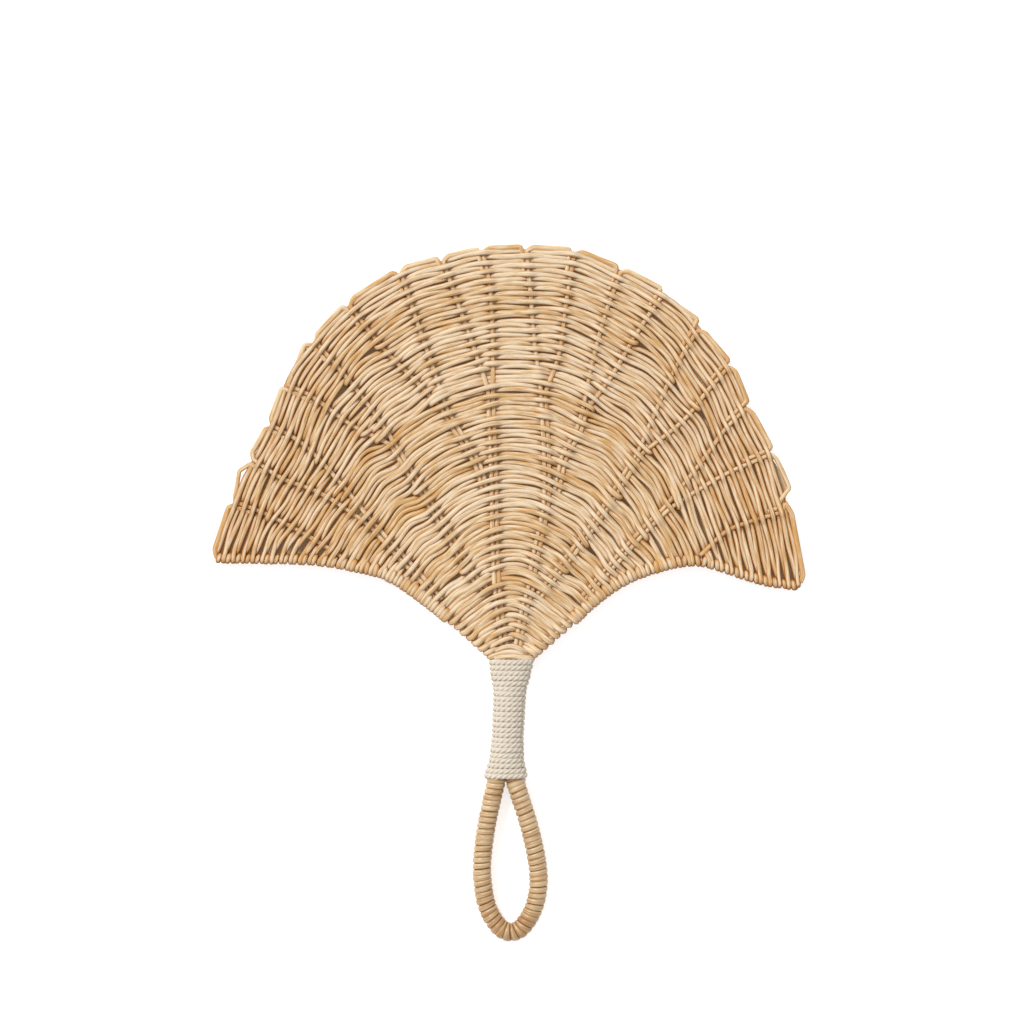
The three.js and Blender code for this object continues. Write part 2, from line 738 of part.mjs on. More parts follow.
function loopCurve() {
  const bottom = -gripLength;
  const height = (distance) => {
    const share = THREE.MathUtils.clamp(distance / loopShape.at(-1)[1], 0, 1);
    return THREE.MathUtils.lerp(gripAxisHeight, loopEndHeight, share);
  };
  const point = (side) => ([half, distance]) => {
    const lean = (loopLean * Math.max(distance, 0)) / loopShape.at(-1)[1];
    const axisX = gripAxisX(Math.max(bottom - distance, bottom)) + lean;
    return new THREE.Vector3(axisX + side * half, bottom - distance, height(distance));
  };
  const shavedEnd = [shavedHalfSpacing, -legHidden];
  const halfway = [(shavedHalfSpacing + legHalfSpacing) / 2, -(legHidden + coreDrop) / 2];
  const leg = [shavedEnd, halfway, [legHalfSpacing, -coreDrop]];
  const bend = loopShape.slice(0, -1);
  const left = [...leg, ...bend].map(point(-1));
  const right = [...leg, ...bend].map(point(1)).reverse();
  return new THREE.CatmullRomCurve3([...left, point(0)(loopShape.at(-1)), ...right], false, "centripetal");
}

const loop = loopCurve();
const loopLength = loop.getLength();

/** The cane is shaved thinner towards both ends, inside the grip. */
function caneRadius(distance) {
  const fromEnd = Math.min(distance, loopLength - distance);
  const share = THREE.MathUtils.clamp(fromEnd / legHidden, 0, 1);
  return THREE.MathUtils.lerp(shavedRadius, loopRodRadius, share);
}

/** Point on a circle round the loop's cane, at a distance along it. */
function aroundLoop(distance, angle, radius) {
  const share = THREE.MathUtils.clamp(distance / loopLength, 0, 1);
  const tangent = loop.getTangentAt(share);
  const inPlane = new THREE.Vector3(0, 0, 1).cross(tangent).normalize();
  const upright = new THREE.Vector3().crossVectors(tangent, inPlane);
  return loop.getPointAt(share)
    .addScaledVector(inPlane, radius * Math.cos(angle))
    .addScaledVector(upright, radius * Math.sin(angle));
}

function loopRod() {
  const stations = Math.round(loopLength / ringSpacing);
  const rings = [];
  for (let i = 0; i <= stations; i++) {
    const distance = (i * loopLength) / stations;
    const ring = [];
    for (let j = 0; j < loopSides; j++) {
      ring.push(aroundLoop(distance, (j * 2 * Math.PI) / loopSides, caneRadius(distance)));
    }
    rings.push(ring);
  }
  return sweepRings(rings);
}

function loopBinding() {
  const from = legHidden - coreDrop + 2 * clearance;
  const to = loopLength - from;
  const pitch = (to - from) / (peelTurns + 1);
  const width = pitch - peelGap;
  const steps = peelTurns * loopSides;
  const [inner, outer] = [loopRodRadius + clearance, loopTubeRadius];
  const rings = [];
  for (let i = 0; i <= steps; i++) {
    const angle = (i * 2 * Math.PI) / loopSides;
    const middle = from + pitch / 2 + (i * pitch) / loopSides;
    const corner = (side, radius) => aroundLoop(middle + (side * width) / 2, angle, radius);
    const inside = [-1, 0, 1].map((side) => corner(side, inner));
    const outside = [1, 0, -1].map((side) => corner(side, outer));
    rings.push([...inside, ...outside]);
  }
  const straight = (near, next) => near.map((p, i) => {
    return p.clone().sub(next[i]).setLength(peelThickness).add(p);
  });
  rings.unshift(straight(rings[0], rings[1]));
  rings.push(straight(rings.at(-1), rings.at(-2)));
  let least = Infinity;
  for (let i = 0; i + loopSides < rings.length; i++) {
    least = Math.min(least, rings[i][2].distanceTo(rings[i + loopSides][0]));
  }
  console.log("loop binding: least gap to itself", least.toFixed(2), "mm");
  return sweepRings(rings);
}

// Materials: pale dry reed, slightly darker stakes, satin peel and undyed cotton

const finish = (color, roughness) => () => {
  return new THREE.MeshStandardMaterial({ color, roughness, metalness: 0 });
};
const reedFinish = finish("#dcc09a", 0.6);
const stakeFinish = finish("#cfa878", 0.6);
const caneFinish = finish("#c99f68", 0.55);
const peelFinish = finish("#d9b27a", 0.35);
const cottonFinish = finish("#e4dacb", 0.9);
const coreFinish = finish("#b98f5c", 0.8);

// Assembly

const fan = new THREE.Group();

function addPiece(name, geometry, material) {
  const mesh = new THREE.Mesh(geometry, material());
  mesh.name = name;
  fan.add(mesh);
}

const numbered = (name, i) => `${name}_${String(i + 1).padStart(2, "0")}`;

addPiece("left_edge_rod", reed(withBorder(routes.get("left_edge"), 0), edgeRodDiameter), stakeFinish);
addPiece("right_edge_rod", reed(routes.get("right_edge"), edgeRodDiameter), stakeFinish);
stakeRoutes.forEach((route, i) => {
  addPiece(numbered("stake", i), reed(withBorder(route, i + 1), stakeDiameter), stakeFinish);
});
for (let run = 0; run < weftRuns; run++) {
  addPiece(numbered("weft", run), weftBand(run), reedFinish);
}
addPiece("grip_core", gripCore(), coreFinish);
addPiece("grip_cord", gripCord(), cottonFinish);
addPiece("loop_rod", loopRod(), caneFinish);
addPiece("loop_binding", loopBinding(), peelFinish);

const bounds = new THREE.Box3().setFromObject(fan);
const middle = bounds.getCenter(new THREE.Vector3());
fan.position.set(-middle.x, -middle.y, -bounds.min.z);

export default fan;
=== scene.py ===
"""A woven rattan hand fan lying on white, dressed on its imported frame.

Plan points are in millimetres from the throat, the middle of the line where the blade leaves the
grip: x to the right, y towards the top of the blade. Heights are in millimetres above the floor,
and so are all lengths and sizes that name no other unit.
"""

import math
import random

import bpy
import numpy as np
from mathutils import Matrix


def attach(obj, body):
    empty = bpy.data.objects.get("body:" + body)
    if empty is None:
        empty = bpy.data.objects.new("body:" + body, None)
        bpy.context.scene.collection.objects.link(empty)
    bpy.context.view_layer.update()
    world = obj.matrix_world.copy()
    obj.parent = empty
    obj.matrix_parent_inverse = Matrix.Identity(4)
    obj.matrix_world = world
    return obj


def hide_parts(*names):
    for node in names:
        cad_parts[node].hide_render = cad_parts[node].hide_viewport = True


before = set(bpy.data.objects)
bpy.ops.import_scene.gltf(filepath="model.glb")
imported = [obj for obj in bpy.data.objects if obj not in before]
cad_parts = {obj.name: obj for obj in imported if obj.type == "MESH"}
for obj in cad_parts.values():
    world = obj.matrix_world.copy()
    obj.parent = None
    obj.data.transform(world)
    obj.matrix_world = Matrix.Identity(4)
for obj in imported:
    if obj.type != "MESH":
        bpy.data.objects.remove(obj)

bl_info = {
    "name": "Rattan fan",
    "version": (1, 0, 0),
    "blender": (4, 5, 0),
    "location": "3D View > Sidebar > Rattan fan",
    "description": "Weaves a rattan hand fan and sets it on a white floor",
    "category": "Object",
}

# Where the throat lies in the frame, in millimetres
THROAT = np.array([1.17, -38.15, -0.10])

# Blade outline: the left tip, the notch of each stake from left to right, and the right tip
OUTLINE = [
    (-171.5, 58.5), (-160.5, 91), (-150, 115.5), (-139, 135), (-130, 158.5), (-113.5, 183.5),
    (-94, 204.5), (-64, 223.5), (-39.5, 230.5), (-16.5, 235.5), (9, 236.5), (37, 234.5),
    (64, 224), (88.5, 211), (108.5, 190), (126.5, 168.5), (136.5, 145), (150.5, 118),
    (159, 91), (168.5, 42),
]
LEFT_EDGE = [
    (-7.4, -4), (-7.4, -2), (-11.5, 2.6), (-28.5, 18), (-44.5, 31), (-57.5, 41), (-72.5, 49.5),
    (-90, 53.8), (-110.5, 56.8), (-144.5, 57.6), (-170, 58.2),
]
RIGHT_EDGE = [
    (7.4, -4), (7.4, -2), (12, 2.6), (32, 20), (51, 37), (66.5, 47), (84, 53.3), (96, 56),
    (108, 56.6), (121, 53.3), (134, 48.5), (149.5, 44.4), (166.5, 42.2),
]

# Pairs of stakes from left to right: the start, the points both follow side by side, and each
# one's own points up to the rim. A start is a route, a level on it and a side of it, or else the
# grip, a side of its middle, and the name by which others start from this pair's route.
STAKE_PAIRS = [
    (("left_edge", 0.25, -1), [(-55.5, 50.5), (-69.5, 65.5), (-83.5, 81)],
     [(-110, 95.5), (-132, 104)], [(-101.5, 105), (-119, 123)]),
    (("trunk_left", 0.2, 1), [(-22.5, 48.5), (-38.5, 76), (-55.5, 103), (-69.5, 125.5)],
     [(-92.5, 135), (-115.5, 151.5)], [(-87, 152.5)]),
    (("trunk_left", 0.44, 1), [(-19, 111), (-31, 131), (-40.5, 147.5)],
     [(-54, 159), (-73, 178)], [(-45.5, 169), (-56, 199.5)]),
    (("grip", -1, "trunk_left"), [(-7.5, 34), (-9, 57), (-10, 103), (-12, 156)],
     [(-20, 175), (-30, 203)], [(-10.5, 183), (-12.5, 216.5)]),
    (("grip", 1, "trunk_right"),
     [(8, 30), (11.5, 41), (13, 54), (20, 88.5), (20.5, 111.5), (18.5, 155)],
     [(13.5, 182.5), (11, 213)], [(27.5, 175), (32, 206.5)]),
    (("trunk_right", 0.44, -1), [(31, 117), (38.5, 130.5), (43, 144.5)],
     [(46.5, 169), (54, 197.5)], [(58, 163), (74, 190)]),
    (("trunk_right", 0.2, -1), [(31, 55.5), (49.5, 80), (62.5, 100), (76, 121.5)],
     [(83, 142), (96.5, 171)], [(99, 137), (114.5, 156)]),
    (("right_edge", 0.25, 1), [(61, 57), (75.5, 73), (94, 91)],
     [(110, 114), (124, 133)], [(119, 104), (138, 113)]),
]
STAKES = 18
FIRST_STAKE = (("left_edge", 0.54, -1), [(-112, 68), (-138, 82)])
LAST_STAKE = (
    ("right_edge", 0.6, 1), [(124, 73.5), (134.6, 78), (144.2, 81.2), (151, 83), (156.6, 85.4)],
)

# Border bars that stand off the rim: the notch they start from, and their corners. Then those of
# them that are no thicker than their stakes.
STANDOFF_BARS = {
    1: [(-159.2, 93.0), (-156.6, 108.3)], 4: [(-118.6, 180.9)], 13: [(107.2, 195.6)],
    17: [(152.6, 115.8), (156.0, 108.9), (159.6, 100.3), (160.3, 98.3)],
}
THIN_BARS = (1, 17)

# Where the outermost rows bulge towards such a bar: a place, and how far out, in millimetres
BULGES = [((-122, 173), 1.8), ((103, 198), 1.6)]

# Places where a weft reed turns back round a stake instead of reaching the edge rod
TURN_BACKS = [
    (73.4, 181.9), (90.9, 158.9), (103.5, 142.2), (47.7, 141.1), (77.5, 114.9), (60.9, 89.3),
    (96.6, 85.8), (76.5, 68.0), (43.1, 62.2), (33.9, 47.2),
    (-77.8, 179.1), (-94.1, 157.7), (-45.0, 145.4), (-82.9, 130.7), (-72.7, 120.4),
    (-111.4, 116.3), (-55.3, 96.2), (-135.6, 81.8), (-27.3, 53.3),
]

# Handle loop: half width and distance below the grip, from the first bend to the far end
LOOP_SHAPE = [
    (7.8, 8.6), (12.3, 26), (15.4, 43.2), (16.2, 52.5), (15.9, 60.4), (14.5, 69), (12.2, 75.6),
    (8.8, 81.4), (4.9, 85.6), (0, 87.2),
]

# Cross section of the peel: place along the loop in pitches, and height in thicknesses
PEEL_PROFILE = [
    (0.0, 0.0), (0.4, 0.0), (0.485, 0.2), (0.43, 0.6), (0.28, 0.88), (0.06, 1.0), (-0.16, 0.97),
    (-0.36, 0.8), (-0.485, 0.45), (-0.47, 0.0),
]

# How far inside the outline the stakes bend over, the border bars lie and the last row runs, and
# the gap between stakes side by side
NOTCH_INSET = 1.5
BAR_INSET = -0.85
ROW_INSET = 0.6
STAKE_GAP = 0.1

# Rows of weft on the middle line, the reeds they are made of, and the point they bend round
ROWS = 89
WEFT_LENGTHS = 24
FAN_CENTRE = np.array([0.0, -10.0])

# Grip and loop: length, how far each leans aside, half widths from the grip's lower end up, the
# cane's radius, and the heights of the grip's axis, the loop's end and the rim
GRIP_LENGTH = 70.0
GRIP_LEAN = -3.2
GRIP_HALF_WIDTHS = [
    (-70, 13.2), (-65, 12.2), (-58, 10.2), (-51, 9.8), (-44, 9.2), (-37, 9.4), (-24, 9.5),
    (-17, 9.8), (-13, 11.0), (-10, 11.7), (-3, 12.8), (0, 13.0),
]
LOOP_LEAN = 2.9
LOOP_LEAN_REACH = 60.0
LOOP_ROD_RADIUS = 4.2
GRIP_AXIS_HEIGHT = 8.8
LOOP_END_HEIGHT = 5.3
RIM_HEIGHT = 3.95

# The share of the blade in which rows turn from straight to round, and the angle off the middle
# past which they bend no further
FLAT_REACH = 0.06
WIDEST = 1.1

# The weft between stakes: height over a stake, how far it holds that height and how soon it dips,
# the share of the height left then, and chance height and sway
WEFT_LIFT = 2.42
HOLD = 0.1
DIP = 3.6
TILT = 0.28
DRIFT = 0.6
SWAY = 0.31
SWAY_PERIODS = (5.1, 11.3, 23.7)
SWAY_FADE = 5

# The rows: how softly they close up past a turn back, how much closer they lie off the middle,
# how far and over what length they draw together in pairs near the tips, and how close stakes
# have to be to be passed as one
CLOSING = 26
CROWDING = 0.17
PINCH = 1.3
PINCH_REACH = 12
GROUP_GAP = 6.4

# Turns round the edge rods: the level up to which they are half turns, how far out those lie, how
# many degrees the top runs ahead, how much the coils bunch up and tighten at the tips, the share
# of the row's slant they keep, and the degrees between their points
SINGLE_LEVEL = 0.2
SINGLE_REACH = 0.55
TOP_LEAD = 35
TIP_BUNCHING = 0.7
TIP_TIGHTENING = 0.36
TURN_SLANT = 0.3
TURN_STEP = 15

# Distance between the points of a route, and height at which a strand lies on the surface
SAMPLE = 1.2
SURFACE = 1.6

# Length in which the cord's plies make one full turn, and the steps in which the cord and the peel
# go once round
TWIST_LENGTH = 8.8
CORD_STEPS = 60
PEEL_STEPS = 28

# How strongly the sky and the sun light the fan. Straight into the camera the sky is white, and
# the floor has a glow of its own.
DAYLIGHT = 0.54
SUNLIGHT = 2.3
FLOOR_GLOW = 0.6

# The camera, in metres: the width it sees at the blade's middle height, its own height, and that
# middle height. Then the middle of the picture, in millimetres from the throat.
VIEW_WIDTH = 0.5893
CAMERA_HEIGHT = 1.7
BLADE_MIDDLE = 0.006
VIEW_CENTRE = (0.5, 84.6)


def millimetres(name, default, description):
    """A length property, shown in Blender's own unit."""
    return bpy.props.FloatProperty(
        name=name, description=description, default=default / 1000, unit="LENGTH", min=0,
        precision=5)


def whole(name, default, description):
    """A whole number property."""
    return bpy.props.IntProperty(name=name, description=description, default=default, min=3)


def colour(name, default, description):
    """A colour property, given as it shows on the screen and kept as linear light."""
    linear = [(c / 255 / 12.92) if c < 11 else ((c / 255 + 0.055) / 1.055) ** 2.4 for c in default]
    return bpy.props.FloatVectorProperty(
        name=name, description=description, default=linear, subtype="COLOR", size=3, min=0, max=1)


class FanSettings(bpy.types.PropertyGroup):
    """Sizes and colours of the fan."""

    weft_diameter: millimetres("Weft reed", 3.2, "Diameter of the woven reeds")
    stake_diameter: millimetres("Stake", 2.65, "Diameter of the stakes and edge rods")
    cord_diameter: millimetres("Grip cord", 3.45, "Diameter of the twisted cotton cord")
    peel_thickness: millimetres("Peel thickness", 1.1, "Thickness of the rattan peel")
    cord_turns: whole("Cord turns", 23, "Turns of cord round the grip")
    peel_turns: whole("Peel turns", 60, "Turns of peel round the handle loop")
    seed: whole("Seed", 7, "Seed of the handwork's small irregularities")
    weft_colour: colour("Weft", (234, 214, 184), "Colour of the woven reeds")
    weft_dark: colour("Weft, dark", (207, 163, 103), "Darker tone of the woven reeds")
    stake_colour: colour("Stakes", (238, 214, 177), "Colour of the stakes and edge rods")
    stake_dark: colour("Stakes, dark", (212, 165, 107), "Darker tone of the stakes")
    peel_colour: colour("Peel", (214, 187, 147), "Colour of the peel on the loop")
    peel_dark: colour("Peel, dark", (178, 134, 86), "Darker tone of the peel")
    cotton_colour: colour("Cotton", (229, 220, 205), "Colour of the grip's cord")
    cane_colour: colour("Cane", (168, 120, 72), "Colour of the cane under the windings")
    floor_colour: colour("Floor", (250, 250, 251), "Colour of the floor")


# Plan curves


def smooth_curve(knots, step=SAMPLE):
    """Points every `step` millimetres along a centripetal Catmull-Rom curve through the knots."""
    p = np.asarray(knots, float)
    p = np.vstack([2 * p[0] - p[1], p, 2 * p[-1] - p[-2]])
    t = np.concatenate([[0], np.cumsum(np.sqrt(np.linalg.norm(np.diff(p, axis=0), axis=1)))])
    dense = []
    for i in range(1, len(p) - 2):
        s = np.linspace(t[i], t[i + 1], 24, endpoint=False)[:, None]

        def blend(a, b, ta, tb):
            return ((tb - s) * a + (s - ta) * b) / (tb - ta)

        a1 = blend(p[i - 1], p[i], t[i - 1], t[i])
        a2 = blend(p[i], p[i + 1], t[i], t[i + 1])
        a3 = blend(p[i + 1], p[i + 2], t[i + 1], t[i + 2])
        b1 = blend(a1, a2, t[i - 1], t[i + 1])
        b2 = blend(a2, a3, t[i], t[i + 2])
        dense.append(blend(b1, b2, t[i], t[i + 1]))
    dense.append(p[-2][None])
    return resample(np.vstack(dense), step)


def lengths_along(points):
    """Distance from the first point to each point."""
    return np.concatenate([[0], np.cumsum(np.linalg.norm(np.diff(points, axis=0), axis=1))])


def between_rows(wanted, places, values):
    """Rows of numbers that stand at `places`, interpolated at the wanted ones."""
    return np.stack([np.interp(wanted, places, column) for column in values.T], axis=-1)


def at_lengths(points, wanted):
    """Points at given distances along a polyline."""
    return between_rows(wanted, lengths_along(points), points)


def resample(points, step=SAMPLE):
    """The same polyline with evenly spaced points."""
    total = lengths_along(points)[-1]
    return at_lengths(points, np.linspace(0, total, max(3, round(total / step) + 1)))


def unit(vectors):
    """The same directions with a length of 1."""
    return vectors / np.maximum(np.linalg.norm(vectors, axis=-1, keepdims=True), 1e-9)


def headings(points):
    """Unit direction of travel at each point."""
    return unit(np.gradient(points, axis=0))


def shift_left(points, distance):
    """The same plan route, moved to the left of its direction of travel."""
    way = headings(points)
    return points + distance * np.stack([-way[:, 1], way[:, 0]], axis=1)


def smooth_step(x):
    """0 up to 0, 1 from 1 on, and an even S between them."""
    x = np.clip(x, 0, 1)
    return x * x * (3 - 2 * x)


# Levels of the weave: 0 at the fan's centre and 1 at the outermost row

outline_curve = smooth_curve(OUTLINE, 0.5)
notch_length = [
    lengths_along(outline_curve)[np.argmin(np.linalg.norm(outline_curve - p, axis=1))]
    for p in np.array(OUTLINE)
]


def rim_point(notch, inset):
    """Point on the outline at a notch number, moved inwards."""
    length = np.interp(notch, range(len(OUTLINE)), notch_length)
    inner = shift_left(outline_curve, -inset)
    i = np.searchsorted(lengths_along(outline_curve), length)
    return inner[min(i, len(inner) - 1)]


def polar(points):
    """Angle and radius seen from the fan's centre."""
    away = np.asarray(points) - FAN_CENTRE
    return np.arctan2(away[..., 0], away[..., 1]), np.linalg.norm(away, axis=-1)


rim_angle, rim_radius = polar(shift_left(outline_curve, -ROW_INSET))
rim_order = np.argsort(rim_angle)
rim_angle, rim_radius = rim_angle[rim_order], rim_radius[rim_order]
REACH = float(np.interp(0, rim_angle, rim_radius))
FIRST_LEVEL = (0.4 - FAN_CENTRE[1]) / REACH


def bulge(angle):
    """How far the outermost rows bulge outwards, within a few degrees of two of the bars."""
    return sum(
        reach * np.exp(-((angle - polar(place)[0]) / math.radians(3)) ** 2)
        for place, reach in BULGES)


def level_radius(angle, level):
    """Distance from the fan's centre to a level: flat arcs at the throat, like the rim outside."""
    near_rim = (np.interp(angle, rim_angle, rim_radius) / REACH - 1) * level
    near_rim = near_rim + bulge(angle) / REACH * smooth_step((level - 0.93) / 0.07)
    past = np.maximum(0, level - FIRST_LEVEL) / FLAT_REACH
    bend = np.cos(np.minimum(np.abs(angle), WIDEST))
    flatter = 0.7 * np.maximum(0, 1 - past) ** 2 * (1 / bend - 1)
    rounder = 0.3 * smooth_step(past) * (1 - smooth_step((past - 1.1) / 1.6)) * (1 - bend)
    return REACH * level * (1 + near_rim + flatter - rounder)


def on_level(angle, level):
    """Plan point of a level at an angle."""
    radius = level_radius(angle, level)
    return FAN_CENTRE + np.stack([radius * np.sin(angle), radius * np.cos(angle)], axis=-1)


def level_at(angle, radius):
    """The level at a distance from the fan's centre, found by halving, also past the rim."""
    low, high = np.zeros_like(radius), np.full_like(radius, 1.3)
    for _ in range(28):
        middle = (low + high) / 2
        inside = level_radius(angle, middle) < radius
        low, high = np.where(inside, middle, low), np.where(inside, high, middle)
    return low


def level_of(points):
    """The level that each plan point lies on."""
    return level_at(*polar(points))


def blade_height(level):
    """Height of the blade's middle surface, falling evenly from the grip's axis to the rim."""
    share = np.clip((level - FIRST_LEVEL) / (1 - FIRST_LEVEL), 0, 1)
    return GRIP_AXIS_HEIGHT + (RIM_HEIGHT - GRIP_AXIS_HEIGHT) * share


def beyond(points, level):
    """The part of an outward route past a level."""
    return points[np.argmax(level_of(points) > level):]


# Routes of the edge rods, stakes and border


def grip_axis_x(y):
    """How far to the right the grip's axis lies."""
    return GRIP_LEAN * np.minimum(y, 0) / -GRIP_LENGTH


def start_of(start, breadth, routes, radius, pitch):
    """Where a pair or a single stake starts: in the grip, or beside the route it lies next to."""
    if start[0] == "grip":
        x = start[1] * pitch
        return [(x, -4), (x, -2)]
    host, level, side = start
    half = radius if host.endswith("edge") else pitch / 2 + radius
    route = beyond(routes[host], level)
    return [shift_left(route, side * (half + 0.3 + radius + breadth))[0]]


def stake_routes(diameter):
    """Plan routes of both edge rods and of the eighteen stakes up to the rim."""
    radius, pitch = diameter / 2, diameter + STAKE_GAP
    routes = {"left_edge": smooth_curve(LEFT_EDGE), "right_edge": smooth_curve(RIGHT_EDGE)}
    order = sorted(range(len(STAKE_PAIRS)), key=lambda i: STAKE_PAIRS[i][0][0] != "grip")
    stakes = {}
    for i in order:
        start, shared, left, right = STAKE_PAIRS[i]
        middle = smooth_curve(start_of(start, pitch / 2, routes, radius, pitch) + shared)
        if start[0] == "grip":
            routes[start[2]] = middle
        for own, side, notch in ((left, 0.5, 2 * i + 2), (right, -0.5, 2 * i + 3)):
            together = shift_left(middle, side * pitch)[:: 6]
            stakes[notch] = smooth_curve([*together, *own, rim_point(notch, NOTCH_INSET)])
    for (start, own), notch in ((FIRST_STAKE, 1), (LAST_STAKE, STAKES)):
        begin = start_of(start, 0, routes, radius, pitch)
        stakes[notch] = smooth_curve([*begin, *own, rim_point(notch, NOTCH_INSET)])
    return routes, stakes


def rounded(points, index, reach):
    """The polyline with a short curve in place of one corner."""
    corner = points[index]
    before, after = points[:index], points[index + 1:]
    before = before[np.linalg.norm(before - corner, axis=1) > reach]
    after = after[np.linalg.norm(after - corner, axis=1) > reach]
    start = corner + reach * unit(before[-1] - corner)
    end = corner + reach * unit(after[0] - corner)
    s = np.linspace(0, 1, 6)[:, None]
    bend = (1 - s) ** 2 * start + 2 * s * (1 - s) * corner + s ** 2 * end
    return np.vstack([before, bend, after])


def with_border(route, notch, stakes, routes, pitch, dice):
    """A stake's route, bent over at the rim, laid along it and tucked in beside the next stake."""
    if notch in STANDOFF_BARS:
        bar = np.array(STANDOFF_BARS[notch])
    else:
        bar = np.array([rim_point(notch + s, BAR_INSET) for s in (0.14, 0.86)])
    if notch < STAKES:
        tuck = shift_left(stakes[notch + 1], pitch)
        depth = dice.uniform(11, 17)
        tuck = at_lengths(tuck[::-1], np.arange(0, depth, SAMPLE))
    else:
        end = routes["right_edge"][-1]
        tuck = np.array([[end[0] + 0.2, end[1] + 1.6]])
    points = np.vstack([route, bar, tuck])
    if notch < STAKES:
        points = rounded(points, len(route) + len(bar), 1.2)
    for corner in reversed(range(len(bar))):
        points = rounded(points, len(route) + corner, 0.8)
    return rounded(points, len(route) - 1, 1.2)


# Weft rows


def spread(share, total, room):
    """Distance from the innermost row: an even pitch inside, fitted to the room at the rim."""
    return share * (total + (room - total) * share)


def lane_levels():
    """Guide angles, the level of each row at each of them, and the rows that turn back."""
    angles = np.radians(np.arange(-86, 86.01, 0.25))
    first = REACH * FIRST_LEVEL
    room = level_radius(angles, 1) - first
    crowding = 1 - CROWDING * smooth_step(np.abs(angles) / np.radians(35))
    pitch = REACH * (1 - FIRST_LEVEL) / ROWS * crowding
    weights = np.ones((ROWS, len(angles)))
    turns = {}
    spots = [polar(p) for p in TURN_BACKS]
    for side in (-1, 1):
        present = list(range(ROWS))
        for angle, radius in sorted((s for s in spots if s[0] * side > 0), key=lambda s: abs(s[0])):
            here = np.argmin(np.abs(angles - angle))
            shares = np.linspace(0, 1, 400)
            reached = first + spread(shares, len(present) * pitch[here], room[here])
            wanted = float(np.interp(radius, reached, shares)) * len(present) - 1
            parity = 0 if side > 0 else 1
            pairs = [
                k for k in range(len(present) - 1)
                if present[k] % 2 == parity and present[k + 1] == present[k] + 1
            ]
            k = min(pairs, key=lambda k: abs(k - wanted))
            lane = present[k]
            turns[lane, side] = turns[lane + 1, side] = angle
            present = present[:k] + present[k + 2:]
            past = smooth_step((np.abs(angles) - abs(angle)) * radius / CLOSING + 0.45)
            past[np.sign(angles) != side] = 0
            weights[lane : lane + 2] *= 1 - past
    total = weights.sum(axis=0)
    shares = (np.cumsum(weights, axis=0) - weights / 2) / total
    inwards = spread(shares, total * pitch, room)
    flat = first * (1 / np.cos(np.minimum(np.abs(angles), WIDEST)) - 1)
    radius = first + inwards + flat * np.maximum(0, 1 - inwards / 15) ** 2
    return angles, level_at(np.broadcast_to(angles, radius.shape), radius), turns


def crossing_of(route_polar, angles, levels):
    """Angle at which a route crosses a row, and how far along the route, or None."""
    route_angle, route_level = route_polar
    ahead = route_level - np.interp(route_angle, angles, levels)
    change = np.nonzero((ahead[:-1] <= 0) & (ahead[1:] > 0))[0]
    if not len(change):
        return None
    i = change[0]
    share = -ahead[i] / (ahead[i + 1] - ahead[i])
    return route_angle[i] + share * (route_angle[i + 1] - route_angle[i]), i + share


def near_tips(level):
    """0 in the middle of the blade, 1 near its tips."""
    return smooth_step((level - 0.35) / 0.45)


def extend(route, distance):
    """A route with a straight length added at its end."""
    return np.vstack([route, route[-1] + distance * headings(route)[-1]])


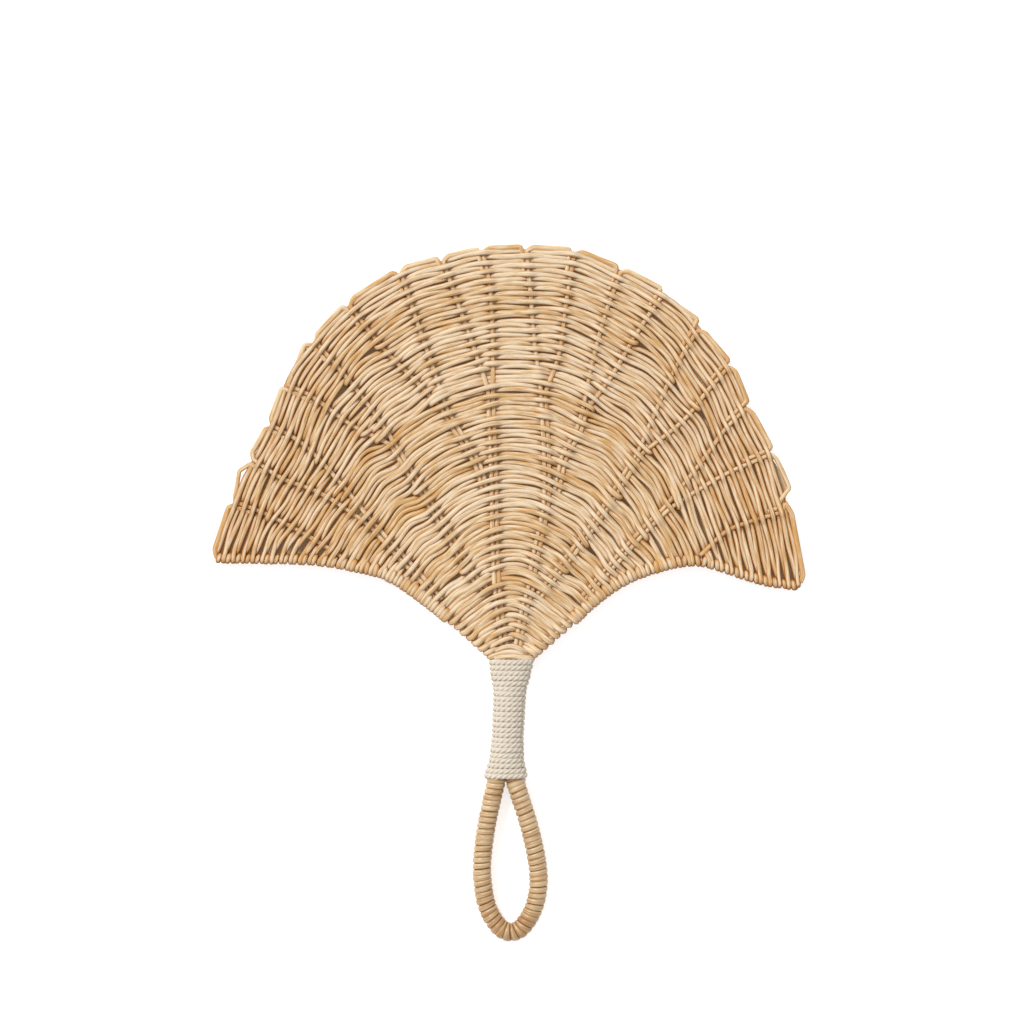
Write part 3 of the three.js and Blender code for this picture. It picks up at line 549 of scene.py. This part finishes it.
class WeftRow:
    """One row: its plan curve, and the stakes it crosses in groups from left to right.

    A stake in a group is its distance along the row, its name and its own point number there.
    """

    def __init__(self, index, angles, levels, guides, turns):
        self.index, self.levels = index, levels
        self.plan = on_level(angles, levels)
        self.along = lengths_along(self.plan)
        hits = []
        for name, (route, route_polar) in guides.items():
            hit = crossing_of(route_polar, angles, levels)
            if hit:
                hits.append((float(np.interp(hit[0], angles, self.along)), name, hit[1]))
        hits.sort()
        names = [h[1] for h in hits]
        hits = hits[names.index("left_edge"):names.index("right_edge") + 1]
        self.groups = [[hits[0]]]
        for hit in hits[1:]:
            if hit[0] - self.groups[-1][-1][0] < GROUP_GAP:
                self.groups[-1].append(hit)
            else:
                self.groups.append([hit])
        self.ends = []
        for side in (-1, 1):
            if (index, side) in turns:
                spot = float(np.interp(turns[index, side], angles, self.along))
                inner = range(1, len(self.groups) - 1)
                self.ends.append(min(
                    inner, key=lambda g: abs(np.mean([h[0] for h in self.groups[g]]) - spot)))
            else:
                self.ends.append(0 if side < 0 else len(self.groups) - 1)

    def wave(self, s, keys, dice):
        """Height over the middle surface: held at the stakes, nearly level between them."""
        key_s, key_z = np.array(keys).T
        wave = np.full_like(s, key_z[0])
        for i in range(len(keys) - 1):
            gap = key_s[i + 1] - key_s[i]
            inside = (s >= key_s[i]) & (s <= key_s[i + 1])
            if key_z[i] == key_z[i + 1]:
                wave[inside] = key_z[i]
                continue
            share = (s[inside] - key_s[i]) / gap
            near = gap * np.minimum(share, 1 - share)
            slope = (1 + np.cos(np.pi * np.minimum(near / min(DIP, gap / 2), 1))) / 2
            side = np.where(share < 0.5, key_z[i], key_z[i + 1])
            tilt = TILT * side * np.abs(1 - 2 * share)
            drift = dice.uniform(-DRIFT, DRIFT) * np.sin(np.pi * share) ** 2
            wave[inside] = tilt + (side - TILT * side) * slope + drift
        return wave

    def heading(self, s, outwards):
        """Unit plan direction of the row at a place, to the right or, with -1, to the left."""
        return unit((on_row(self, s + outwards) - on_row(self, s - outwards))[:2])

    def pass_over(self, rightwards, first_sign, dice):
        """Points of the row in its direction of travel, and the sign at its far end."""
        first, last = self.ends
        order = range(first, last + 1) if rightwards else range(last, first - 1, -1)
        sign, keys = first_sign, []
        for g in order:
            group = self.groups[g]
            keys.append((group[0][0] - HOLD, sign * WEFT_LIFT))
            keys.append((group[-1][0] + HOLD, sign * WEFT_LIFT))
            sign = -sign
        low, high = self.groups[first][0][0], self.groups[last][-1][0]
        s = np.linspace(low, high, max(8, round((high - low) / SAMPLE)))
        wave = self.wave(s, sorted(keys), dice)
        level = np.interp(s, self.along, self.levels)
        plan = between_rows(s, self.along, self.plan)
        sway = sum(
            SWAY * np.sin(s / period + dice.uniform(0, 2 * math.pi)) for period in SWAY_PERIODS)
        sway = sway * np.minimum(np.minimum(s - low, high - s) / SWAY_FADE, 1)
        pairing = -1 if self.index % 2 else 1
        pinch = pairing * np.exp(-(s - low) / PINCH_REACH) * (first == 0)
        pinch = pinch - pairing * np.exp(-(high - s) / PINCH_REACH) * (
            last == len(self.groups) - 1)
        shift = sway + PINCH * pinch * near_tips(level)
        plan = plan + unit(plan - FAN_CENTRE) * shift[:, None]
        points = np.column_stack([plan, blade_height(level) + wave])
        return (points if rightwards else points[::-1]), -sign


def wrap_turn(row, following, guides, rightwards, sign, reach):
    """Half a turn round the edge rod near the grip, and one and a half turns farther out."""
    name, outer, outward = ("right_edge", -1, 1) if rightwards else ("left_edge", 0, -1)
    route = guides[name][0]
    end, _, here = row.groups[outer][outer]
    there = following.groups[outer][outer][2]
    level = np.interp(end, row.along, row.levels)
    tip = float(near_tips(level))
    if level < SINGLE_LEVEL:
        turn = np.arange(0, 180.1, TURN_STEP)
        advance = turn / 180
        reach = reach * SINGLE_REACH
    else:
        turn = np.arange(0, 540.1, TURN_STEP)
        passed = turn if sign > 0 else turn - 180 * (1 - tip)
        passed = passed - TOP_LEAD * sign * np.sin(np.radians(turn))
        advance = np.clip(passed / (360 + 180 * tip), 0, 1)
        advance = np.where(sign > 0, advance, 1 - advance) ** (1 + TIP_BUNCHING * tip)
        advance = np.where(sign > 0, advance, 1 - advance)
    apart = PINCH * tip / SAMPLE
    spot = here - apart + (there - here + 2 * apart) * advance
    spot = np.minimum(spot, len(route) - 3)
    plan = between_rows(spot, range(len(route)), route)
    way = headings(route)[np.clip(np.round(spot).astype(int), 0, len(route) - 1)]
    normal = np.stack([way[:, 1], -way[:, 0]], axis=1) * outward
    level = level_of(plan)
    reach = reach * (1 - TIP_TIGHTENING * near_tips(level))
    heading = row.heading(end, outward)
    slant = np.clip((way @ heading) / np.maximum(normal @ heading, 0.3), -1.2, 1.2)
    angle = np.radians(90 - turn) * sign
    sideways = normal + way * (slant * TURN_SLANT)[:, None]
    plan = plan + sideways * (reach * np.cos(angle))[:, None]
    return np.column_stack([plan, blade_height(level) + reach * np.sin(angle)])


def hook_turn(row, following, rightwards, sign, reach):
    """Half a turn round a stake inside the blade."""
    side, outer, outward = (1, -1, 1) if rightwards else (0, 0, -1)
    here = row.groups[row.ends[side]][outer][0]
    there = following.groups[following.ends[side]][outer][0]
    start, end = on_row(row, here), on_row(following, there)
    ahead = on_row(row, here + outward) - start
    ahead[2] = 0
    ahead = unit(ahead)
    turn = np.radians(np.arange(TURN_STEP, 180, TURN_STEP))[:, None]
    share = (1 - np.cos(turn)) / 2
    up = np.array([0, 0, 1.0])
    middle = start + (end - start) * share
    return middle + ahead * reach * np.sin(turn) + up * sign * reach * np.cos(turn)


def on_row(row, s):
    """The point of the blade's middle surface at a distance along a row."""
    plan = between_rows(s, row.along, row.plan)
    return np.array([*plan, blade_height(np.interp(s, row.along, row.levels))])


def weave(settings):
    """The points and the relative width of each length of weft, from the grip outwards."""
    dice = random.Random(settings.seed)
    diameter = settings.stake_diameter * 1000
    reed = settings.weft_diameter * 1000
    routes, stakes = stake_routes(diameter)
    reach = (diameter + reed) / 2 - 0.1
    guides = {}
    edges = {name: routes[name] for name in ("left_edge", "right_edge")}
    for name, route in {**edges, **stakes}.items():
        longer = extend(route, 8)
        guides[name] = (longer, (polar(longer)[0], level_of(longer)))
    angles, levels, turns = lane_levels()
    rows = [WeftRow(i, angles, levels[i], guides, turns) for i in range(ROWS)]
    borders = [round(k * ROWS / WEFT_LENGTHS) for k in range(1, WEFT_LENGTHS)]
    runs, cuts, sign, count = [], [], 1, 0
    for i, row in enumerate(rows):
        rightwards = i % 2 == 0
        points, far_sign = row.pass_over(rightwards, sign, dice)
        if i in borders:
            # One length ends and the next starts where a stake hides the joint
            depth = points[:, 2] - blade_height(level_of(points[:, :2]))
            low = np.nonzero(depth < -WEFT_LIFT * 0.98)[0]
            middle = len(points) * dice.uniform(0.3, 0.7)
            cuts.append(count + int(low[np.argmin(np.abs(low - middle))]))
        runs.append(points)
        count += len(points)
        if i + 1 == ROWS:
            break
        side = 1 if rightwards else -1
        if (i, side) in turns:
            turn = hook_turn(row, rows[i + 1], rightwards, far_sign, reach)
        else:
            turn = wrap_turn(row, rows[i + 1], guides, rightwards, far_sign, reach)
        runs.append(turn)
        count += len(turn)
        sign = -far_sign
    weft = np.vstack(runs)
    lengths = [resample(soften(p, 2)) for p in np.split(weft, cuts)]
    rods = np.vstack(list(edges.values()))
    return [(points, squeeze(points[:, :2], rods)) for points in lengths]


def squeeze(plan, rods):
    """How thick a reed is: thicker round the rods near the grip, thinner towards the tips."""
    nearest = np.array([np.min(np.linalg.norm(rods - p, axis=1)) for p in plan])
    aside = smooth_step((np.abs(plan[:, 0]) - 50) / 60)
    level = level_of(plan)
    wider = 0.14 * (1 - smooth_step((level - SINGLE_LEVEL + 0.05) / 0.1)) - 0.04 * near_tips(level)
    return 1 - 0.05 * aside + wider * np.exp(-((nearest / 4) ** 2))


def soften(points, passes):
    """Rounds off kinks by averaging each point with its neighbours."""
    points = points.copy()
    for _ in range(passes):
        points[1:-1] = points[1:-1] / 2 + (points[:-2] + points[2:]) / 4
    return points


# Meshes


def transported_frames(points):
    """Two unit vectors across the path at each point, carried along it without twist."""
    way = headings(points)
    normals = np.empty_like(points)
    normal = np.cross(way[0], (0.3, 0.2, 1.0))
    for i, direction in enumerate(way):
        normal = unit(normal - direction * normal.dot(direction))
        normals[i] = normal
    return normals, np.cross(way, normals)


def turned(angle, first, second):
    """Directions at an angle, from the first vectors towards the second."""
    return np.cos(angle)[..., None] * first + np.sin(angle)[..., None] * second


def add_object(name, mesh):
    """A new object in the scene."""
    piece = bpy.data.objects.new(name, mesh)
    bpy.context.scene.collection.objects.link(piece)
    return piece


class StrandMesh:
    """Collects round strands in one mesh, with their grain directions and tones."""

    def __init__(self):
        self.verts, self.faces, self.grain, self.tone, self.depth = [], [], [], [], []
        self.count = 0

    def add_rings(self, rings, around, along, tone, depth):
        """Adds closed rings of points: `around` holds each corner's angle, `along` metres.

        `depth` is a mask of painted shade: 1 on top of a strand, falling to 0 on its flanks and in
        crevices, where the material paints shade.
        """
        steps, sides = rings.shape[:2]
        base = self.count + np.arange(steps * sides).reshape(steps, sides)
        following = np.roll(base, -1, axis=1)
        quads = np.stack([base[:-1], following[:-1], following[1:], base[1:]], axis=-1)
        self.faces += quads.reshape(-1, 4).tolist()
        self.faces += [base[0][::-1].tolist(), base[-1].tolist()]
        self.verts.append(rings.reshape(-1, 3))
        ring = np.stack([np.cos(around), np.sin(around)], axis=-1)
        grain = np.concatenate([
            np.broadcast_to(ring, (steps, sides, 2)),
            np.broadcast_to(along[:, None, None], (steps, sides, 1)),
        ], axis=2)
        self.grain.append(grain.reshape(-1, 3))
        self.tone.append(np.full(steps * sides, tone))
        self.depth.append(np.broadcast_to(depth, (steps, sides)).ravel())
        self.count += steps * sides

    def add_tube(self, points, radius, tone, sides=12, woven=False, flanks=False):
        """Adds a round strand: `flanks` paints shade on its sides, `woven` also below crossing
        reeds.
        """
        first, second = transported_frames(points)
        around = np.arange(sides) * 2 * math.pi / sides
        radius = np.broadcast_to(radius, len(points))
        outwards = turned(around, first[:, None], second[:, None])
        rings = points[:, None] + radius[:, None, None] * outwards
        # Mask of painted shade: 1 means none; lower on the strand's sides and, for woven reeds,
        # where they lie below others
        depth = 1.0
        if flanks:
            depth = np.abs(outwards[:, :, 2]) ** 0.5
        if woven:
            middle = blade_height(level_of(points[:, :2]))[:, None]
            raised = np.minimum(np.abs(rings[:, :, 2] - middle) / SURFACE, 1)
            depth = np.abs(outwards[:, :, 2]) * (0.7 + 0.3 * raised)
        self.add_rings(rings, around, lengths_along(points) / 1000, tone, depth)

    def make(self, name, material):
        """Makes the object, in the frame's metres."""
        verts = (np.vstack(self.verts) + THROAT) / 1000
        mesh = bpy.data.meshes.new(name)
        mesh.from_pydata(verts.tolist(), [], self.faces)
        mesh.polygons.foreach_set("use_smooth", [len(f) == 4 for f in self.faces])
        for layer, kind, field, values in (
            ("grain", "FLOAT_VECTOR", "vector", self.grain),
            ("tone", "FLOAT", "value", self.tone),
            ("depth", "FLOAT", "value", self.depth),
        ):
            data = mesh.attributes.new(layer, kind, "POINT").data
            data.foreach_set(field, np.concatenate(values).astype(np.float32).ravel())
        mesh.materials.append(material)
        mesh.validate()
        return add_object(name, mesh)


def finish_piece(piece, slot, *nodes):
    """Puts a piece on its body and in the place of its nodes, which it hides. Its slot is not used.
    """
    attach(piece, "root")
    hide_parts(*nodes)


# Materials


class Value:
    """A value in a node tree. Sums, differences and products of values make math nodes."""

    def __init__(self, tree, socket):
        self.tree, self.socket = tree, socket

    def math(self, operation, other=0.0, clamp=False):
        inputs = {0: self, 1: other}
        return add_node(self.tree, "Math", inputs, operation=operation, use_clamp=clamp)

    def __add__(self, other):
        return self.math("ADD", other)

    def __sub__(self, other):
        return self.math("SUBTRACT", other)

    def __mul__(self, other):
        return self.math("MULTIPLY", other)

    def clamped(self):
        """The value, kept between 0 and 1."""
        return self.math("ADD", clamp=True)

    def between(self, low, high):
        """0 at `low`, 1 at `high`, with soft ends."""
        inputs = {"Value": self, "From Min": low, "From Max": high}
        return add_node(self.tree, "MapRange", inputs, interpolation_type="SMOOTHSTEP")


def plug(tree, socket, value):
    """Sets a socket to a number or colour, or links a value to it."""
    if isinstance(value, Value):
        tree.links.new(value.socket, socket)
    else:
        socket.default_value = value


def add_node(tree, kind, inputs, output=0, **options):
    """Adds a node, sets its options and then its inputs, and gives one of its outputs."""
    node = tree.nodes.new("ShaderNode" + kind)
    for name, value in options.items():
        setattr(node, name, value)
    for name, value in inputs.items():
        plug(tree, node.inputs[name], value)
    return Value(tree, node.outputs[output])


class Shader:
    """A Principled material with helpers for the nodes in front of it."""

    def __init__(self, name):
        self.material = bpy.data.materials.new(name)
        self.material.use_nodes = True
        self.tree = self.material.node_tree
        self.bsdf = self.tree.nodes["Principled BSDF"]

    def attribute(self, name, output):
        return add_node(self.tree, "Attribute", {}, output, attribute_name=name)

    def object_place(self):
        return add_node(self.tree, "TexCoord", {}, "Object")

    def split(self, vector):
        node = add_node(self.tree, "SeparateXYZ", {0: vector}).socket.node
        return [Value(self.tree, o) for o in node.outputs]

    def join(self, x, y, z):
        return add_node(self.tree, "CombineXYZ", {0: x, 1: y, 2: z})

    def noise(self, vector, scale, detail=2.0, roughness=0.5):
        inputs = {"Vector": vector, "Scale": scale, "Detail": detail, "Roughness": roughness}
        return add_node(self.tree, "TexNoise", inputs, "Fac")

    def mix(self, share, first, second):
        inputs = {"Factor": share, "A": first, "B": second}
        return add_node(self.tree, "Mix", inputs, "Result", data_type="RGBA")

    def bump(self, height, strength, distance):
        inputs = {"Height": height, "Strength": strength, "Distance": distance}
        self.set(normal=add_node(self.tree, "Bump", inputs))

    def set(self, **inputs):
        """Sets or links inputs of the surface, named in small letters with underscores."""
        sockets = {s.name.lower().replace(" ", "_"): s for s in self.bsdf.inputs}
        for name, value in inputs.items():
            plug(self.tree, sockets[name], value)


def rgba(colour):
    """A colour with full opacity, as sockets want it."""
    return (*colour, 1.0)


def tinted(colour, *factors):
    """A darker colour: its red, green and blue light, each times a factor."""
    return rgba(c * k for c, k in zip(colour, factors))


def seen_directly(tree):
    """1 for the camera's rays and for reflections, 0 for light that falls on the fan."""
    camera, glossy, through = (
        add_node(tree, "LightPath", {}, f"Is {kind} Ray")
        for kind in ("Camera", "Glossy", "Transmission"))
    return (camera + glossy + through).clamped()


def reed_material(name, light, dark, roughness, shine=0.15, flanks=1.0):
    """Dry rattan: fine lengthwise fibres, slow changes of tone, and darker dry lines.

    It is darker towards the fan's two sides. It has painted shade: an orange brown on the flanks
    and deep brown in crevices, both stronger towards the fan's sides. The last argument sets how
    strong the painted shade on the flanks is.
    """
    s = Shader(name)
    s.set(specular_ior_level=shine)
    x, y, along = s.split(s.attribute("grain", "Vector"))
    tone = s.attribute("tone", "Fac")
    slow = s.noise(s.join(x * 0.5, y * 0.5, along * 55 + tone * 40), 1.0, 3.0, 0.65)
    fibre = s.noise(s.join(x * 2.1, y * 2.1, along * 90 + tone * 30), 1.0, 2.0, 0.6)
    lines = s.noise(s.join(x * 3.2, y * 3.2, along * 60 + tone * 90), 1.3, 3.0, 0.75)
    place = s.split(s.object_place())
    aside = place[0].math("ABSOLUTE")
    shift = (slow - 0.5) * 1.7 + (tone - 0.5) * 0.6 + (fibre - 0.5) * 3.4 + aside * 1.4 + 0.34
    loop_end = place[1].between(-0.165, -0.196)
    shift = shift + loop_end * 0.5
    colour = s.mix(shift.clamped(), rgba(light), rgba(dark))
    brown = tinted(dark, 0.62, 0.5, 0.38)
    colour = s.mix(lines.between(0.56, 0.68) * 0.75, colour, brown)
    # Mask of painted shade: the depth attribute, lowered towards the fan's two sides so that the
    # painted shade grows there
    depth = s.attribute("depth", "Fac") - aside * 1.2 + 0.09
    # Painted shade on the flanks of the reeds, in an orange brown
    flank_shade_colour = tinted(dark, 0.86, 0.6, 0.3)
    flank_shade_mask = depth.between(0.92, 0.45) * (aside * 3.0 + 0.33) + (fibre - 0.5) * 0.3
    colour = s.mix((flank_shade_mask * flanks).clamped(), colour, flank_shade_colour)
    # Painted shade in the crevices between the reeds, in deep brown
    crevice_shade_colour = tinted(dark, 0.42, 0.24, 0.04)
    crevice_shade_mask = depth.between(0.6, 0.2) * 0.95 + (lines - 0.5) * 0.2
    colour = s.mix(crevice_shade_mask.clamped(), colour, crevice_shade_colour)
    s.set(base_color=colour, roughness=fibre * 0.2 + roughness)
    s.bump(fibre + lines * 0.5, 0.25, 0.0002)
    return s.material


def cotton_material(settings):
    """Undyed cotton: fine fibres that run with the ply, and slow changes of tone."""
    s = Shader("undyed_cotton")
    x, y, along = s.split(s.attribute("grain", "Vector"))
    fibre = s.noise(s.join(x * 3, y * 3, along * 900), 1.0, 3.0, 0.7)
    slow = s.noise(s.object_place(), 180.0, 2.0)
    share = (fibre.between(0.25, 0.8) * 0.4 + slow * 0.3).clamped()
    shade = tinted(settings.cotton_colour, 0.72, 0.66, 0.58)
    s.set(base_color=s.mix(share, rgba(settings.cotton_colour), shade), roughness=0.95)
    s.bump(fibre, 0.3, 0.0002)
    return s.material


def cane_material(settings):
    """Peeled cane, which the windings hide nearly everywhere."""
    s = Shader("cane_under_windings")
    grain = s.noise(s.object_place(), 300.0, 2.0)
    dark = tinted(settings.cane_colour, 0.6, 0.6, 0.6)
    s.set(base_color=s.mix(grain, rgba(settings.cane_colour), dark), roughness=0.7)
    return s.material


# Operators


class FAN_OT_stakes(bpy.types.Operator):
    """Lays the edge rods and the stakes with their border"""

    bl_idname = "fan.stakes"
    bl_label = "Lay stakes and border"

    def execute(self, context):
        settings = context.scene.fan_settings
        dice = random.Random(settings.seed + 1)
        diameter = settings.stake_diameter * 1000
        radius, pitch = diameter / 2, diameter + STAKE_GAP
        routes, stakes = stake_routes(diameter)
        stakes[0] = routes["left_edge"]
        # The stakes get painted shade on their sides, half as strong as on the weft
        material = reed_material(
            "stake_reed", settings.stake_colour, settings.stake_dark, 0.5, flanks=0.5)
        for notch in range(STAKES + 1):
            route = with_border(stakes[notch], notch, stakes, routes, pitch, dice)
            node = f"stake_{notch:02d}" if notch else "left_edge_rod"
            border = 1.0 if notch in THIN_BARS else 1.22
            self.lay(node, route, radius, border, material, dice)
        self.lay("right_edge_rod", routes["right_edge"], radius, 1, material, dice)
        return {"FINISHED"}

    def lay(self, node, route, radius, border, material, dice):
        """One rod or stake: `border` is how much thicker it is past the outermost row."""
        route = resample(route)
        level = level_of(route)
        points = np.column_stack([route, blade_height(level)])
        thicker = 1 + (border - 1) * smooth_step((level - 0.995) / 0.008)
        strands = StrandMesh()
        strands.add_tube(points, radius * thicker, dice.random(), flanks=True)
        finish_piece(strands.make("round_" + node, material), "stake_reed", node)


class FAN_OT_weft(bpy.types.Operator):
    """Weaves the weft reeds over and under the stakes"""

    bl_idname = "fan.weft"
    bl_label = "Weave the weft"

    def execute(self, context):
        settings = context.scene.fan_settings
        dice = random.Random(settings.seed + 2)
        material = reed_material("weft_reed", settings.weft_colour, settings.weft_dark, 0.5)
        radius = settings.weft_diameter * 500
        for i, (points, thickness) in enumerate(weave(settings)):
            strands = StrandMesh()
            along = lengths_along(points)
            thickness = thickness * radius * dice.uniform(0.96, 1.04) * (
                1 + 0.07 * np.sin(along / 47 + dice.uniform(0, 6)) + 0.05 * np.sin(along / 11))
            strands.add_tube(points, thickness, dice.random(), woven=True)
            piece = strands.make(f"weft_length_{i + 1:02d}", material)
            finish_piece(piece, "weft_reed", f"weft_{i + 1:02d}")
        return {"FINISHED"}


def grip_half(y):
    """Outer half width and half thickness of the wound grip. Both its ends are flatter."""
    ends = np.maximum(smooth_step((y + 24) / 24), 1 - smooth_step((y + GRIP_LENGTH) / 20))
    return np.interp(y, *zip(*GRIP_HALF_WIDTHS)), GRIP_AXIS_HEIGHT - 0.9 * ends


class FAN_OT_grip_cord(bpy.types.Operator):
    """Winds the twisted cotton cord round the grip"""

    bl_idname = "fan.grip_cord"
    bl_label = "Wind the grip cord"

    def execute(self, context):
        settings = context.scene.fan_settings
        dice = random.Random(settings.seed + 3)
        radius = settings.cord_diameter * 500
        turns = settings.cord_turns
        turn = np.linspace(0, turns, turns * CORD_STEPS + 1)
        y = 0.5 - radius - (GRIP_LENGTH + 1.3 - 2 * radius) * turn / turns
        y = y + 0.12 * np.sin(turn * 2.3) + 0.1 * np.sin(turn * 0.71 + 1)
        wide, thick = grip_half(y)
        angle = turn * 2 * math.pi - 0.4
        path = np.column_stack([
            grip_axis_x(y) + (wide - radius) * np.cos(angle),
            y - 0.45 * np.cos(angle) + 0.4,
            GRIP_AXIS_HEIGHT + (thick - radius) * np.sin(angle),
        ])
        path = resample(path, 0.7)
        first, second = transported_frames(path)
        along = lengths_along(path)
        strands = StrandMesh()
        for ply in range(3):
            twist = -along * 2 * math.pi / TWIST_LENGTH + ply * 2 * math.pi / 3
            lay = 0.5 * radius * turned(twist, first, second)
            strands.add_tube(path + lay, radius * 0.57, dice.random(), sides=8)
        piece = strands.make("twisted_grip_cord", cotton_material(settings))
        finish_piece(piece, "cotton_cord", "grip_cord")
        return {"FINISHED"}


def loop_centre_line():
    """Centre line of the handle loop from one end in the grip to the other."""
    def place(side, half, distance):
        lean = LOOP_LEAN * min(max(distance / LOOP_LEAN_REACH, 0), 1)
        share = min(max(distance / LOOP_SHAPE[-1][1], 0), 1)
        height = GRIP_AXIS_HEIGHT + (LOOP_END_HEIGHT - GRIP_AXIS_HEIGHT) * share
        return (GRIP_LEAN + lean + side * half, -GRIP_LENGTH - distance, height)

    leg = [(5.15, -6), (5.3, -1), *LOOP_SHAPE]
    left = [place(-1, *p) for p in leg]
    right = [place(1, *p) for p in leg[-2::-1]]
    return smooth_curve(left + right, 0.5)


class FAN_OT_loop_binding(bpy.types.Operator):
    """Winds the rattan peel round the handle loop"""

    bl_idname = "fan.loop_binding"
    bl_label = "Wind the loop's peel"

    def execute(self, context):
        settings = context.scene.fan_settings
        dice = random.Random(settings.seed + 4)
        line = loop_centre_line()
        along = lengths_along(line)
        way = headings(line)
        inwards = unit(np.cross((0, 0, 1.0), way))
        upright = np.cross(way, inwards)
        turns = settings.peel_turns
        pitch = along[-1] / (turns + 0.6)
        thickness = settings.peel_thickness * 1000
        turn = np.arange(turns * PEEL_STEPS + 1) / PEEL_STEPS
        middle = pitch * (turn + 0.3)
        middle = middle + 0.12 * np.sin(turn * 1.9) + 0.1 * np.sin(turn * 0.83)
        angle = turn * 2 * math.pi
        rings = []
        for share, height in PEEL_PROFILE:
            place = np.clip(middle + share * pitch, 0, along[-1])
            side = between_rows(place, along, inwards)
            top = between_rows(place, along, upright)
            distance = LOOP_ROD_RADIUS + 0.2 + thickness * height
            rings.append(at_lengths(line, place) + distance * turned(angle, side, top))
        rings = np.stack(rings, axis=1)
        share, height = np.array(PEEL_PROFILE).T
        # Mask of painted shade: low towards both edges of each coil, where the coils meet
        around, depth = share * 2.4, 0.15 + 0.85 * height
        strands = StrandMesh()
        strands.add_rings(rings, around, lengths_along(rings[:, 0]) / 1000, dice.random(), depth)
        material = reed_material(
            "rattan_peel", settings.peel_colour, settings.peel_dark, 0.3, shine=0.5)
        finish_piece(strands.make("wound_peel", material), "rattan_peel", "loop_binding")
        return {"FINISHED"}


class FAN_OT_cane(bpy.types.Operator):
    """Bends the loop's cane and gives the grip core its finish"""

    bl_idname = "fan.cane"
    bl_label = "Bend and finish the cane"

    def execute(self, context):
        material = cane_material(context.scene.fan_settings)
        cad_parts["grip_core"].material_slots[0].material = material
        strands = StrandMesh()
        strands.add_tube(loop_centre_line()[::3], LOOP_ROD_RADIUS, tone=0.5, sides=20)
        finish_piece(strands.make("bent_cane", material), "cane_core", "loop_rod")
        return {"FINISHED"}


class FAN_OT_stage(bpy.types.Operator):
    """Sets up the white floor with a painted shadow under the blade, the light and the camera"""

    bl_idname = "fan.stage"
    bl_label = "Set the stage"

    def execute(self, context):
        scene, settings = context.scene, context.scene.fan_settings
        bpy.ops.mesh.primitive_plane_add(size=6, location=(0, 0, -0.0004))
        floor = context.object
        floor.name = "floor"
        s = Shader("white_floor")
        s.set(base_color=rgba(settings.floor_colour), roughness=1.0, specular_ior_level=0.0)
        s.set(emission_color=seen_directly(s.tree), emission_strength=FLOOR_GLOW)
        floor.data.materials.append(s.material)
        self.lay_shade()

        world = bpy.data.worlds.new("daylight")
        world.use_nodes = True
        sky = world.node_tree.nodes["Background"]
        sky.inputs["Color"].default_value = (1, 1, 1, 1)
        white = seen_directly(world.node_tree) * (1 - DAYLIGHT) + DAYLIGHT
        plug(world.node_tree, sky.inputs["Strength"], white)
        scene.world = world
        bpy.ops.object.light_add(type="SUN", rotation=(math.radians(-30), math.radians(-30), 0))
        sun = context.object
        sun.name = "window"
        sun.data.energy = SUNLIGHT
        sun.data.angle = math.radians(14)

        centre = (THROAT[:2] + VIEW_CENTRE) / 1000
        bpy.ops.object.camera_add(location=(*centre, CAMERA_HEIGHT), rotation=(0, 0, 0))
        camera = context.object
        camera.data.sensor_width = 36
        camera.data.lens = 36 * (CAMERA_HEIGHT - BLADE_MIDDLE) / VIEW_WIDTH
        scene.camera = camera
        scene.view_settings.view_transform = "Standard"
        return {"FINISHED"}

    def lay_shade(self):
        """Lays a painted shadow: a brown patch on the floor under the blade, so that gaps show
        shade.
        """
        right = shift_left(smooth_curve(RIGHT_EDGE), 2)[3:]
        left = shift_left(smooth_curve(LEFT_EDGE), -2)[3:]
        edge = resample(np.vstack([left[::-1], right]), 3)
        # The painted shadow reaches farther out beside the last bar, under the gap there
        last_bar = np.linalg.norm(outline_curve - (157, 103), axis=1)
        further = 3.9 * np.exp(-((last_bar / 8) ** 2))
        rim = shift_left(outline_curve, -0.8) + further[:, None] * (0.95, 0.3)
        rim = at_lengths(rim, np.linspace(0, lengths_along(rim)[-1], len(edge)))
        plan = (np.vstack([edge, rim]) + THROAT[:2]) / 1000
        n = len(edge)
        mesh = bpy.data.meshes.new("floor_under_blade")
        mesh.from_pydata(
            [(x, y, -0.0002) for x, y in plan], [],
            [(i, i + 1, n + i + 1, n + i) for i in range(n - 1)])
        s = Shader("shaded_floor")
        s.set(base_color=(0.6, 0.43, 0.25, 1.0), roughness=1.0)
        # A faint glow that sets how light the painted shadow looks
        s.set(emission_color=(1, 0.8, 0.58, 1), emission_strength=0.05)
        mesh.materials.append(s.material)
        add_object("floor_under_blade", mesh)


class FAN_PT_panel(bpy.types.Panel):
    """The fan's sizes, colours and steps"""

    bl_label = "Rattan fan"
    bl_idname = "FAN_PT_panel"
    bl_space_type = "VIEW_3D"
    bl_region_type = "UI"
    bl_category = "Rattan fan"

    def draw(self, context):
        settings = context.scene.fan_settings
        for name in settings.bl_rna.properties.keys():
            if name not in ("rna_type", "name"):
                self.layout.prop(settings, name)
        for operator in OPERATORS:
            self.layout.operator(operator.bl_idname)


OPERATORS = (
    FAN_OT_stakes, FAN_OT_weft, FAN_OT_grip_cord, FAN_OT_loop_binding, FAN_OT_cane, FAN_OT_stage,
)


def register():
    for cls in (FanSettings, *OPERATORS, FAN_PT_panel):
        bpy.utils.register_class(cls)
    bpy.types.Scene.fan_settings = bpy.props.PointerProperty(type=FanSettings)


def unregister():
    del bpy.types.Scene.fan_settings
    for cls in (FAN_PT_panel, *reversed(OPERATORS), FanSettings):
        bpy.utils.unregister_class(cls)


def main():
    """Builds the whole fan and sets the stage."""
    register()
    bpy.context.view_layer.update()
    bpy.ops.fan.stakes()
    bpy.ops.fan.weft()
    bpy.ops.fan.grip_cord()
    bpy.ops.fan.loop_binding()
    bpy.ops.fan.cane()
    bpy.ops.fan.stage()


if __name__ == "__main__":
    main()
